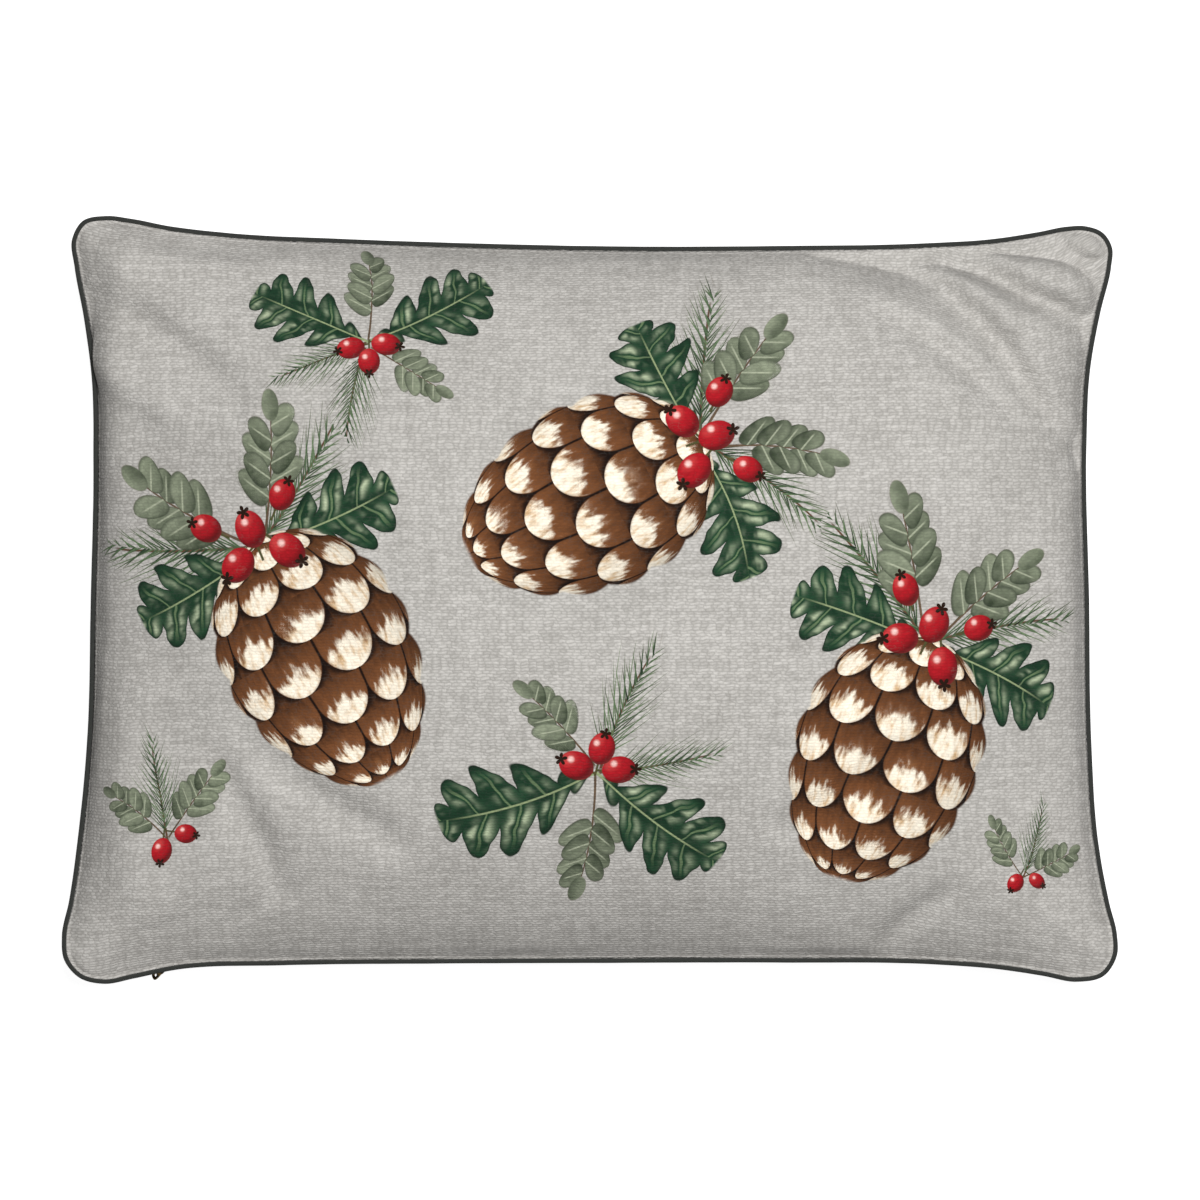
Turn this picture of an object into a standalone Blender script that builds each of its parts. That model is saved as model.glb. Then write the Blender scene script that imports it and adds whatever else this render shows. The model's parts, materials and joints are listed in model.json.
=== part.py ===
"""A rectangular filled cushion with a piped seam and a zip beneath its lower edge.

The cushion lies on its back. +Z points up out of the front panel, +X runs along the
length, +Y towards the top edge, and the origin is under the middle, on the surface
that the cushion rests on. Everything is in metres.
"""
from math import cos, pi, radians, sin

import bmesh
import bpy
import numpy as np
from mathutils import Matrix, Vector

MM = 0.001

# The cushion
LENGTH = 0.550              # over the piping, corner to corner, along X
WIDTH = 0.400               # over the piping, corner to corner, along Y
SEAM_HEIGHT = 0.062         # of the piped seam, along the straight edges
FRONT_CROWN = 0.070         # of the front panel above the seam
BACK_CROWN = 0.066          # of the back panel below the seam, before the floor flattens it
CROWN_POWER = 0.55          # under 1 makes the edges steep and the middle flat
CORNER_THINNING = 0.55      # how much thinner the filling is in the corners
PIPING_RADIUS = 0.0012
GAP = 0.0003                # left between pieces that touch

# The zip, in its own frame: x along the teeth, y across them, z out of the cover
ZIP_START = Vector((-0.2225, -0.1876, 0.0560))
ZIP_END = Vector((0.1900, -0.1840, 0.0560))
ZIP_TILT = radians(50)      # between the way the zip faces and straight down
TAPE_THICKNESS = 0.0004
TAPE_BELOW = 0.0045         # tape on the back panel's side of the teeth
TAPE_ABOVE = 0.0025         # tape on the piping's side of the teeth
TAPE_SPARE = 0.008          # tape past each end of the teeth
TEETH_WIDTH = 0.0036
TEETH_HEIGHT = 0.0013
STOP_LENGTH = 0.0028

# The slider and its pull
SLIDER_LENGTH = 0.0086
SLIDER_FRONT = 0.0046       # half its width at the end that parts the teeth
SLIDER_REAR = 0.0037        # half its width at the other end
SLIDER_PLATE = 0.0008
SLIDER_AT_REST = 0.0008     # its middle, from the first tooth
BRIDGE_RADIUS = 0.00055
BRIDGE_RISE = 0.0026        # of the bridge's middle above the plate
BRIDGE_SPAN = 0.0050
PULL_THICKNESS = 0.0008
PULL_WIDTH = 0.0046
PULL_REACH = 0.0117         # from the hinge to the tip
PULL_LIFT = radians(52)     # of the resting pull off the zip
PULL_ROLL = radians(-30)    # of the resting pull about its own length

# The piping's outer edge in millimetres, anticlockwise: x, y, and its rise above SEAM_HEIGHT
OUTLINE_MM = [
    # lower edge
    (-160, -190.2, 0), (-80, -189.3, 0), (0, -189.0, 0), (100, -188.8, 0), (180, -189.8, 0),
    # lower right corner
    (214, -192.4, 0.5), (236, -195.7, 1.5), (253, -198.6, 2.5), (267, -195.6, 3.5),
    (274, -184.5, 4.0), (274, -174.0, 3.5), (270.2, -158, 2.0), (264.5, -126, 0.5),
    # right edge
    (261.0, -75, 0), (259.8, 0, 0), (258.4, 80, 0),
    # upper right corner
    (260.3, 120, 0.5), (265.5, 150, 2.5), (270.8, 173, 5.0), (271.2, 183, 6.0), (266.5, 190.6, 6.5),
    (257, 194.2, 6.0), (248, 194.0, 5.0), (233, 191.3, 3.0), (212, 188.1, 1.0),
    # upper edge
    (175, 185.7, 0), (100, 184.3, 0), (20, 184.0, 0), (-60, 185.6, 0), (-130, 188.0, 0),
    # upper left corner
    (-190, 191.1, 0.5), (-220, 194.6, 2.0), (-239, 198.2, 3.5), (-252, 199.6, 4.5),
    (-264, 197.0, 5.0), (-269.6, 187.5, 4.5), (-268.4, 173, 3.0), (-264, 148, 1.0),
    # left edge
    (-260, 118, 0), (-258.9, 70, 0), (-260.3, 0, 0), (-262.3, -75, 0),
    # lower left corner
    (-266.5, -120, 0.5), (-271.5, -157, 2.0), (-275.0, -175, 3.5), (-273.8, -187, 4.0),
    (-266.0, -196.4, 3.5), (-253, -199.7, 2.5), (-238, -197.0, 1.5), (-217, -192.7, 0.5),
]
SPANS_IN_PAD = 3            # mesh steps between two outline points
SPANS_IN_PIPING = 4
RINGS_IN_PAD = 24           # from the middle of one panel to the middle of the other


def smooth_loop(knots, steps):
    """Closed curve through the knots: each span is a cubic with its length's worth of slope."""
    before = np.roll(knots, 1, axis=0)
    after = np.roll(knots, -1, axis=0)
    reach = np.linalg.norm((after - knots)[:, :2], axis=1)[:, None]
    reach_before = np.roll(reach, 1, axis=0)
    slope = ((knots - before) / reach_before * reach + (after - knots) / reach * reach_before)
    slope /= reach + reach_before
    slope_after = np.roll(slope, -1, axis=0)
    spans = []
    for s in np.arange(steps) / steps:
        spans.append((2 * s**3 - 3 * s**2 + 1) * knots
                     + (s**3 - 2 * s**2 + s) * reach * slope
                     + (3 * s**2 - 2 * s**3) * after
                     + (s**3 - s**2) * reach * slope_after)
    return np.stack(spans, axis=1).reshape(-1, 3)


def outline(steps, inset):
    """The seam's loop, centred and scaled to LENGTH by WIDTH, then moved inwards by inset."""
    loop = smooth_loop(np.array(OUTLINE_MM) * MM, steps)
    low = loop.min(axis=0)
    high = loop.max(axis=0)
    loop[:, :2] = (loop[:, :2] - (low + high)[:2] / 2) * (LENGTH, WIDTH) / (high - low)[:2]
    loop[:, 2] += SEAM_HEIGHT
    along = np.roll(loop, -1, axis=0) - np.roll(loop, 1, axis=0)
    inwards = np.stack([-along[:, 1], along[:, 0], np.zeros(len(loop))], axis=1)
    return loop + inset * inwards / np.linalg.norm(inwards, axis=1)[:, None]


def finish(piece, node, colour, roughness, metallic=0.0):
    """Names a piece and its mesh and gives it its own material."""
    material = bpy.data.materials.new(node)
    material.use_nodes = True
    shader = material.node_tree.nodes["Principled BSDF"]
    shader.inputs["Base Color"].default_value = (*colour, 1.0)
    shader.inputs["Roughness"].default_value = roughness
    shader.inputs["Metallic"].default_value = metallic
    material.diffuse_color = (*colour, 1.0)
    piece.name = node
    piece.data.name = node
    piece.data.materials.append(material)
    return piece


def new_object(name, data, collection, parent=None, place=Matrix()):
    """An object in a collection, placed in its parent's frame."""
    piece = bpy.data.objects.new(name, data)
    collection.objects.link(piece)
    piece.parent = parent
    piece.matrix_local = place
    return piece


def box(name, low, high, collection, parent):
    """A box between two corners of its parent's frame, from a cube."""
    shape = bmesh.new()
    bmesh.ops.create_cube(shape, size=1.0)
    low = Vector(low)
    high = Vector(high)
    for vertex in shape.verts:
        vertex.co = (low + high) / 2 + vertex.co * (high - low)
    mesh = bpy.data.meshes.new(name)
    shape.to_mesh(mesh)
    shape.free()
    return new_object(name, mesh, collection, parent)


def poly_curve(name, rings, collection, parent=None, cyclic=True):
    """A curve object with one straight-sided spline for each list of points."""
    curve = bpy.data.curves.new(name, "CURVE")
    curve.dimensions = "3D"
    curve.bevel_resolution = 2
    for ring in rings:
        spline = curve.splines.new("POLY")
        spline.points.add(len(ring) - 1)
        for point, place in zip(spline.points, ring):
            point.co = (*place, 1.0)
        spline.use_cyclic_u = cyclic
    return new_object(name, curve, collection, parent)


def plate(name, rings, low, high, collection, parent):
    """A flat outline with holes, filled and thickened from z = low to z = high."""
    piece = poly_curve(name, [[(x, y, 0) for x, y in ring] for ring in rings], collection, parent)
    piece.data.dimensions = "2D"
    piece.data.fill_mode = "BOTH"
    piece.data.extrude = (high - low) / 2
    solid = as_mesh(piece, collection)
    solid.data.transform(Matrix.Translation((0, 0, (low + high) / 2)))
    return solid


def as_mesh(piece, collection):
    """Swaps a curve object for a welded mesh object in the same place."""
    bpy.context.view_layer.update()
    mesh = bpy.data.meshes.new_from_object(piece.evaluated_get(bpy.context.evaluated_depsgraph_get()))
    shape = bmesh.new()
    shape.from_mesh(mesh)
    bmesh.ops.remove_doubles(shape, verts=shape.verts, dist=1e-6)
    shape.to_mesh(mesh)
    shape.free()
    solid = new_object(piece.name, mesh, collection, piece.parent, piece.matrix_local)
    bpy.data.objects.remove(piece)
    return solid


def boolean(piece, other, operation):
    """Joins another object to a piece, or cuts it out, with the exact solver."""
    modifier = piece.modifiers.new(operation.title(), "BOOLEAN")
    modifier.operation = operation
    modifier.object = other
    other.hide_render = True
    other.display_type = "WIRE"


def rounded_rectangle(low, high, radius, steps=3):
    """Corner arcs of a rectangle from low to high, anticlockwise."""
    ring = []
    corners = [(high[0], high[1], 0), (low[0], high[1], 90), (low[0], low[1], 180), (high[0], low[1], 270)]
    for x, y, start in corners:
        middle_x = x - radius if x == high[0] else x + radius
        middle_y = y - radius if y == high[1] else y + radius
        for step in range(steps + 1):
            angle = radians(start + 90 * step / steps)
            ring.append((middle_x + radius * cos(angle), middle_y + radius * sin(angle)))
    return ring


def make_filled_cover(parts, cutters, zip_frame):
    """The cover and its filling: a ball pulled out to the seam and crowned on both sides."""
    rim = outline(SPANS_IN_PAD, 2 * PIPING_RADIUS + GAP)
    half = np.array([LENGTH, WIDTH]) / 2
    shape = bmesh.new()
    bmesh.ops.create_uvsphere(shape, u_segments=len(rim), v_segments=RINGS_IN_PAD, radius=1.0)
    for vertex in shape.verts:
        x, y, z = vertex.co
        fraction = np.hypot(x, y)
        step = round(np.arctan2(y, x) / (2 * pi) * len(rim)) % len(rim)
        edge = rim[step]
        angle = np.arctan2(edge[1] / half[1], edge[0] / half[0])
        oval = np.array([np.cos(angle), np.sin(angle)]) * half
        place = fraction * (oval + fraction**8 * (edge[:2] - oval))
        corner = abs(place[0] * place[1] / (half[0] * half[1]))**3
        crown = abs(z)**(2 * CROWN_POWER) * (1 - CORNER_THINNING * corner)
        seam = SEAM_HEIGHT + (edge[2] - SEAM_HEIGHT) * fraction**2
        height = seam + FRONT_CROWN * crown if z > 0 else max(0.0, seam - BACK_CROWN * crown)
        vertex.co = (*place, height)
    mesh = bpy.data.meshes.new("filled_cover")
    shape.to_mesh(mesh)
    shape.free()
    mesh.shade_smooth()
    pad = new_object("filled_cover", mesh, parts)
    zip_length = (ZIP_END - ZIP_START).length
    channel = box("zip_channel",
                  (-TAPE_SPARE - 0.004, -TAPE_BELOW - 0.001, -GAP),
                  (zip_length + TAPE_SPARE + 0.004, 0.008, 0.012), cutters, zip_frame)
    boolean(pad, channel, "DIFFERENCE")
    finish(pad, "filled_cover", (0.50, 0.48, 0.44), 0.9)


def make_piping(parts):
    """The covered cord sewn all round the seam: one closed tube."""
    piping = poly_curve("piping", [outline(SPANS_IN_PIPING, PIPING_RADIUS)], parts)
    piping.data.bevel_depth = PIPING_RADIUS
    finish(piping, "piping", (0.035, 0.036, 0.034), 0.85)


def make_zip_frame(parts):
    """An empty at the first tooth, with x along the zip and z out of the cover."""
    along = (ZIP_END - ZIP_START).normalized()
    facing = Vector((0, -sin(ZIP_TILT), -cos(ZIP_TILT)))
    facing = (facing - facing.dot(along) * along).normalized()
    across = facing.cross(along)
    turn = Matrix((along, across, facing)).transposed().to_4x4()
    return new_object("zip_frame", None, parts, None, Matrix.Translation(ZIP_START) @ turn)


def make_zip(parts, zip_frame):
    """The tape, the closed teeth on it and the stop at their far end."""
    length = (ZIP_END - ZIP_START).length
    tape = box("zip_tape", (-TAPE_SPARE, -TAPE_BELOW, 0),
               (length + TAPE_SPARE, TAPE_ABOVE, TAPE_THICKNESS), parts, zip_frame)
    finish(tape, "zip_tape", (0.030, 0.030, 0.030), 0.9)
    low = TAPE_THICKNESS + GAP
    teeth = box("zip_teeth", (0, -TEETH_WIDTH / 2, low),
                (length - STOP_LENGTH - GAP, TEETH_WIDTH / 2, low + TEETH_HEIGHT), parts, zip_frame)
    finish(teeth, "zip_teeth", (0.020, 0.020, 0.021), 0.45)
    stop = box("zip_end_stop", (length - STOP_LENGTH, -TEETH_WIDTH / 2 - GAP, low),
               (length, TEETH_WIDTH / 2 + GAP, low + TEETH_HEIGHT + GAP), parts, zip_frame)
    rounding = stop.modifiers.new("Bevel", "BEVEL")
    rounding.width = 0.0004
    rounding.segments = 2
    finish(stop, "zip_end_stop", (0.020, 0.020, 0.021), 0.45)


def make_slider(parts, cutters, zip_frame):
    """The slider: a plate with a flange down each side of the teeth and a bridge on top."""
    centre = new_object("slider_frame", None, parts, zip_frame,
                        Matrix.Translation((SLIDER_AT_REST, 0, 0)))
    front = -SLIDER_LENGTH / 2
    rear = SLIDER_LENGTH / 2
    low = TAPE_THICKNESS + GAP
    ceiling = low + TEETH_HEIGHT + GAP
    top = ceiling + SLIDER_PLATE
    side = [(front, 0.45 * SLIDER_FRONT), (front + 0.0004, 0.75 * SLIDER_FRONT),
            (front + 0.0013, SLIDER_FRONT), (front + 0.0030, SLIDER_FRONT),
            (0.0004, SLIDER_REAR + 0.0001), (rear - 0.0006, SLIDER_REAR), (rear, SLIDER_REAR - 0.0007)]
    ring = [(x, -y) for x, y in side] + [(x, y) for x, y in reversed(side)]
    slider = plate("zip_slider", [ring], low, top, parts, centre)
    channel = box("teeth_channel", (front - 0.001, -TEETH_WIDTH / 2 - GAP, low - 0.001),
                  (rear + 0.001, TEETH_WIDTH / 2 + GAP, ceiling), cutters, centre)
    boolean(slider, channel, "DIFFERENCE")
    arch = []
    for step in range(13):
        angle = pi * step / 12
        sweep = abs(cos(angle))**0.8 * (1 if cos(angle) >= 0 else -1)
        arch.append((-BRIDGE_SPAN / 2 * sweep, 0, top - 0.0003 + (BRIDGE_RISE + 0.0003) * sin(angle)**0.7))
    bridge = poly_curve("bridge", [arch], cutters, centre, cyclic=False)
    bridge.data.bevel_depth = BRIDGE_RADIUS
    bridge.data.use_fill_caps = True
    boolean(slider, as_mesh(bridge, cutters), "UNION")
    finish(slider, "zip_slider", (0.025, 0.023, 0.021), 0.35, 0.9)
    return centre, top


def make_pull(parts, centre, plate_top):
    """The pull: a flat tab with an eye round the bridge and a slot near its tip."""
    along = Vector((-cos(PULL_LIFT), 0, sin(PULL_LIFT)))
    across = Matrix.Rotation(PULL_ROLL, 3, along) @ Vector((0, 1, 0))
    turn = Matrix((along, across, along.cross(across))).transposed().to_4x4()
    hinge = Vector((0, 0, plate_top + (BRIDGE_RISE - BRIDGE_RADIUS) / 2))
    place = Matrix.Translation(hinge) @ turn
    half = PULL_WIDTH / 2
    edge = [(-PULL_THICKNESS / 2, -half + 0.0009), (0.0004, -half), (0.0048, -half),
            (0.0058, -half + 0.0003), (PULL_REACH - 0.0020, -half + 0.0002),
            (PULL_REACH - 0.0006, -half + 0.0005), (PULL_REACH, -half + 0.0012)]
    ring = edge + [(x, -y) for x, y in reversed(edge)]
    eye = rounded_rectangle((PULL_THICKNESS / 2, -0.0016), (0.0044, 0.0016), 0.0003)
    slot = rounded_rectangle((PULL_REACH - 0.0034, -0.0008), (PULL_REACH - 0.0014, 0.0008), 0.0003)
    pull = plate("zip_pull", [ring, eye, slot], -PULL_THICKNESS / 2, PULL_THICKNESS / 2, parts, centre)
    pull.matrix_local = place
    finish(pull, "zip_pull", (0.11, 0.085, 0.055), 0.4, 1.0)


def main():
    for piece in list(bpy.data.objects):
        bpy.data.objects.remove(piece)
    parts = bpy.data.collections.new("piped_cushion")
    cutters = bpy.data.collections.new("cutters")
    bpy.context.scene.collection.children.link(parts)
    bpy.context.scene.collection.children.link(cutters)
    zip_frame = make_zip_frame(parts)
    make_filled_cover(parts, cutters, zip_frame)
    make_piping(parts)
    make_zip(parts, zip_frame)
    centre, plate_top = make_slider(parts, cutters, zip_frame)
    make_pull(parts, centre, plate_top)


main()
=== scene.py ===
# %% [markdown]
# # A piped cushion, from its cut pieces to its print
#
# The real thing is a cover sewn from two flat panels of a slubby cloth, with a covered
# cord (the piping) caught in the seam and a zip beneath the lower edge. It is filled a
# little fuller than it is cut, so the straight edges pull in between the corners.
#
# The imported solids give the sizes, and this lesson only dresses them. It works in the same
# order as the sewing room: cut the cloth, sew the seam, fill it, crease it, then print it.

# %% Load the frame
import json
from math import cos, pi, radians, sin
import bpy
import numpy as np
from mathutils import Matrix, Vector


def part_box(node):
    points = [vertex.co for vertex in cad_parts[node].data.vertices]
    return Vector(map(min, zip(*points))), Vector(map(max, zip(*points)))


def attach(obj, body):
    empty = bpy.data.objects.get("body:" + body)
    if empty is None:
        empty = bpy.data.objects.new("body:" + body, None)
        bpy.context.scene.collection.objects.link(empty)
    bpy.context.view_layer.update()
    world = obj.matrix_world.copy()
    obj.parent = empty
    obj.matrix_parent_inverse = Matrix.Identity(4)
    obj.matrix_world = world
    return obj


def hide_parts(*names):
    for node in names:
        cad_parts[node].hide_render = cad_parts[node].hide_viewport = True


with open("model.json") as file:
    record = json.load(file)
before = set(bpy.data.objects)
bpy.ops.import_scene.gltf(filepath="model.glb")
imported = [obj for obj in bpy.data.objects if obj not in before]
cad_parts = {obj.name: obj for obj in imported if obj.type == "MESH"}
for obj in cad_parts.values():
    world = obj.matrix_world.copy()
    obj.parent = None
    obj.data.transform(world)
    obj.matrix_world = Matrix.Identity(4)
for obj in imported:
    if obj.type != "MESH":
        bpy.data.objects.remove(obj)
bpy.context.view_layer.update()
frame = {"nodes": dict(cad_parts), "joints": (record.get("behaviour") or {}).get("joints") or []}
MM = 0.001
pad_low, pad_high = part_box("filled_cover")
piping_low, piping_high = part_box("piping")
LENGTH = piping_high.x - piping_low.x
WIDTH = piping_high.y - piping_low.y
print("cushion", round(LENGTH, 3), "by", round(WIDTH, 3), "thickness", round(pad_high.z, 3))

# %% [markdown]
# ## The seam's path
#
# Everything hangs on one closed line: where the two panels and the piping meet. It is
# given as the few points that a maker would mark round a filled cushion, in millimetres
# (x, y, and how far the corner lifts), and a smooth curve is passed through them. A Bezier
# curve object would do as well, but a short function on whole arrays gives the same line
# to the panels, the piping and the zip.

# %% A smooth closed line through marked points
PIPING_RADIUS = 1.2 * MM
SEAM_HEIGHT = 62 * MM
OUTLINE_MM = [
    # lower edge
    (-160, -190.2, 0), (-80, -189.3, 0), (0, -189.0, 0), (100, -188.8, 0), (180, -189.8, 0),
    # lower right corner
    (214, -192.4, 0.5), (236, -195.7, 1.5), (253, -198.6, 2.5), (267, -195.6, 3.5),
    (274, -184.5, 4.0), (274, -174.0, 3.5), (270.2, -158, 2.0), (264.5, -126, 0.5),
    # right edge
    (261.0, -75, 0), (259.8, 0, 0), (258.4, 80, 0),
    # upper right corner
    (260.3, 120, 0.5), (265.5, 150, 2.5), (270.8, 173, 5.0), (271.2, 183, 6.0), (266.5, 190.6, 6.5),
    (257, 194.2, 6.0), (248, 194.0, 5.0), (233, 191.3, 3.0), (212, 188.1, 1.0),
    # upper edge
    (175, 185.7, 0), (100, 184.3, 0), (20, 184.0, 0), (-60, 185.6, 0), (-130, 188.0, 0),
    # upper left corner
    (-190, 191.1, 0.5), (-220, 194.6, 2.0), (-239, 198.2, 3.5), (-252, 199.6, 4.5),
    (-264, 197.0, 5.0), (-269.6, 187.5, 4.5), (-268.4, 173, 3.0), (-264, 148, 1.0),
    # left edge
    (-260, 118, 0), (-258.9, 70, 0), (-260.3, 0, 0), (-262.3, -75, 0),
    # lower left corner
    (-266.5, -120, 0.5), (-271.5, -157, 2.0), (-275.0, -175, 3.5), (-273.8, -187, 4.0),
    (-266.0, -196.4, 3.5), (-253, -199.7, 2.5), (-238, -197.0, 1.5), (-217, -192.7, 0.5),
]


def smooth_loop(knots, steps):
    """Closed line through the knots. Between two knots it is the cubic that leaves and
    arrives along the mean direction of the two spans that meet there."""
    before, after = np.roll(knots, 1, axis=0), np.roll(knots, -1, axis=0)
    reach = np.linalg.norm((after - knots)[:, :2], axis=1)[:, None]
    reach_before = np.roll(reach, 1, axis=0)
    slope = (knots - before) / reach_before * reach + (after - knots) / reach * reach_before
    slope /= reach + reach_before
    slope_after = np.roll(slope, -1, axis=0)
    s = (np.arange(steps) / steps)[None, :, None]
    knots, after, reach = knots[:, None], after[:, None], reach[:, None]
    line = ((2 * s**3 - 3 * s**2 + 1) * knots + (s**3 - 2 * s**2 + s) * reach * slope[:, None]
            + (3 * s**2 - 2 * s**3) * after + (s**3 - s**2) * reach * slope_after[:, None])
    return line.reshape(-1, 3)


def seam_line(inset):
    """The piping's outer edge, fitted to the solid's length and width and moved inwards."""
    line = smooth_loop(np.array(OUTLINE_MM) * MM, 24)
    low, high = line.min(axis=0)[:2], line.max(axis=0)[:2]
    line[:, :2] = (line[:, :2] - (low + high) / 2) * (LENGTH, WIDTH) / (high - low)
    line[:, 2] += SEAM_HEIGHT
    along = np.roll(line, -1, axis=0) - np.roll(line, 1, axis=0)
    inwards = np.stack([-along[:, 1], along[:, 0], 0 * along[:, 0]], axis=1)
    return line + inset * inwards / np.linalg.norm(inwards, axis=1)[:, None]


def four_sides(line):
    """Splits a closed line at its corner tips, the points furthest along each diagonal,
    into lower, right, upper and left sides."""
    shape = line[:, :2] / np.abs(line[:, :2]).max(axis=0)
    tips = [int((shape @ np.array(corner)).argmax()) for corner in ((-1, -1), (1, -1), (1, 1), (-1, 1))]
    sides = []
    for start, end in zip(tips, tips[1:] + tips[:1]):
        end += len(line) * (end <= start)
        sides.append(line[np.arange(start, end + 1) % len(line)])
    return sides


seam_sides = four_sides(seam_line(1.7 * PIPING_RADIUS))
for name, side in zip(("lower", "right", "upper", "left"), seam_sides):
    print(name, "edge", round(float(np.linalg.norm(np.diff(side, axis=0), axis=1).sum()), 4), "m of seam")

# %% [markdown]
# ## Cut the panels
#
# A panel is a flat rectangle with rounded corners. Each point of it gets two parameters,
# u along and v up, both from 0 to 1, and every later step is a function on that one grid:
# where the point is in the flat cloth, and where it is on the filled cushion. The grid is
# finer towards the seam, where the cloth turns over and creases most.

# %% Grids over a flat panel and over the seam
CUT_LENGTH = 0.5485
CUT_WIDTH = 0.3985
CUT_CORNER = 0.020


def point_at(line, places):
    """Points at the given shares, from 0 to 1, of an open line's length."""
    walked = np.concatenate([[0], np.cumsum(np.linalg.norm(np.diff(line, axis=0), axis=1))])
    return np.stack([np.interp(places * walked[-1], walked, line[:, k]) for k in range(line.shape[1])], axis=1)


def blend_edges(lower, right, upper, left, u, v):
    """Surface through the points of four edges: the blend of the lower and upper edges, plus
    the blend of the left and right ones, less the flat blend of the four corners."""
    u, v = u[None, :, None], v[:, None, None]
    corners = ((1 - u) * (1 - v) * lower[0] + u * (1 - v) * lower[-1]
               + (1 - u) * v * upper[0] + u * v * upper[-1])
    return (1 - v) * lower[None] + v * upper[None] + (1 - u) * left[:, None] + u * right[:, None] - corners


def span_surface(sides, u, v):
    """Surface that spans the lower, right, upper and left sides of a closed line."""
    return blend_edges(point_at(sides[0], u), point_at(sides[1], v),
                       point_at(sides[2], 1 - u), point_at(sides[3], 1 - v), u, v)


def cut_line():
    """The flat cut: a rectangle whose corners are quarter circles."""
    turn = np.radians(np.arange(0, 91, 5))
    line = []
    for quarter, (sx, sy) in enumerate(((1, 1), (-1, 1), (-1, -1), (1, -1))):
        angle = turn + quarter * pi / 2
        line.append(np.stack([sx * (CUT_LENGTH / 2 - CUT_CORNER) + CUT_CORNER * np.cos(angle),
                              sy * (CUT_WIDTH / 2 - CUT_CORNER) + CUT_CORNER * np.sin(angle)], axis=1))
    return np.concatenate(line)


def towards_ends(count, share):
    """count + 1 numbers from 0 to 1, closer together at both ends."""
    even = np.linspace(0, 1, count + 1)
    return even - share * np.sin(2 * pi * even) / (2 * pi)


cut_sides = four_sides(cut_line())
print("cut panel", CUT_LENGTH, "by", CUT_WIDTH, "m")

# %% [markdown]
# ## Sew, fill and let the cloth settle
#
# Both panels are sewn to the seam, so the seam's points are pinned, and the cloth between
# them is blown up from inside. Blender's Cloth does it: the rest shape key holds the flat
# cut, so every thread keeps its cut length, and pressure is the filling. Gravity is off,
# since the filling carries the cloth. The weight that the real one rests on its back with
# comes later, as a floor that the back panel can't pass.

# %% Blow up the sewn panels
COARSE = (88, 64)
SETTLE_FRAMES = 20
FILL_PRESSURE = 8.0
EASE = 1.025                # how much the cloth gives, as a share of its cut size


def grid_faces(index, turned=False):
    """Four-cornered faces of a grid of vertex numbers, anticlockwise from above."""
    corners = [index[:-1, :-1], index[:-1, 1:], index[1:, 1:], index[1:, :-1]]
    if turned:
        corners.reverse()
    return np.stack(corners, axis=-1).reshape(-1, 4)


def two_panels(front, back):
    """Vertices and faces of a front grid and a back grid that share their edge."""
    rows, columns = front.shape[:2]
    front_index = np.arange(rows * columns).reshape(rows, columns)
    back_index = front_index.copy()
    back_index[1:-1, 1:-1] = rows * columns + np.arange((rows - 2) * (columns - 2)).reshape(rows - 2, -1)
    points = np.concatenate([front.reshape(-1, front.shape[-1]), back[1:-1, 1:-1].reshape(-1, back.shape[-1])])
    faces = np.concatenate([grid_faces(front_index), grid_faces(back_index, turned=True)])
    return points, faces, front_index, back_index


def mesh_object(name, points, faces):
    """A smooth mesh object from arrays of vertices and faces."""
    mesh = bpy.data.meshes.new(name)
    mesh.from_pydata(points.tolist(), [], faces.tolist())
    mesh.shade_smooth()
    piece = bpy.data.objects.new(name, mesh)
    bpy.context.scene.collection.objects.link(piece)
    return piece


def dome(u, v):
    """0 on a panel's edge and 1 in its middle."""
    return np.sqrt((4 * u * (1 - u))[None] * (4 * v * (1 - v))[:, None])


def settle(name, u, v):
    """Cloth over the coarse grid. Returns where its front and back points come to rest."""
    seam = span_surface(seam_sides, u, v)
    rise = np.stack([0 * seam[..., 0], 0 * seam[..., 0], dome(u, v)], axis=-1)
    points, faces, front_index, back_index = two_panels(seam + 0.045 * rise, seam - 0.045 * rise)
    cloth = mesh_object(name, points, faces)
    flat = np.zeros_like(points)
    cut = span_surface(cut_sides, u, v) * EASE
    flat[front_index.ravel(), :2] = cut.reshape(-1, 2)
    flat[back_index.ravel(), :2] = cut.reshape(-1, 2)
    cloth.shape_key_add(name="Sewn")
    cut_key = cloth.shape_key_add(name="Cut")
    cut_key.data.foreach_set("co", flat.astype(np.float32).ravel())
    cut_key.value = 0
    pinned = cloth.vertex_groups.new(name="seam")
    edge = np.concatenate([front_index[0], front_index[-1], front_index[:, 0], front_index[:, -1]])
    pinned.add(np.unique(edge).tolist(), 1.0, "REPLACE")
    modifier = cloth.modifiers.new("Cloth", "CLOTH")
    settings = modifier.settings
    settings.quality = 4
    settings.mass = 0.3
    settings.air_damping = 2
    settings.tension_stiffness = settings.compression_stiffness = 15
    settings.shear_stiffness = 5
    settings.bending_stiffness = 0.3
    settings.tension_damping = settings.compression_damping = settings.shear_damping = 15
    settings.use_pressure = True
    settings.uniform_pressure_force = FILL_PRESSURE
    settings.vertex_group_mass = "seam"
    settings.rest_shape_key = cut_key
    settings.effector_weights.gravity = 0
    modifier.collision_settings.use_collision = False
    modifier.point_cache.frame_end = SETTLE_FRAMES
    for moment in range(1, SETTLE_FRAMES + 1):
        bpy.context.scene.frame_set(moment)
    settled = cloth.evaluated_get(bpy.context.evaluated_depsgraph_get()).to_mesh()
    places = np.empty(3 * len(points), np.float32)
    settled.vertices.foreach_get("co", places)
    bpy.context.scene.frame_set(1)
    bpy.data.objects.remove(cloth)
    places = places.reshape(-1, 3).astype(float)
    return places[front_index], places[back_index]


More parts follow.
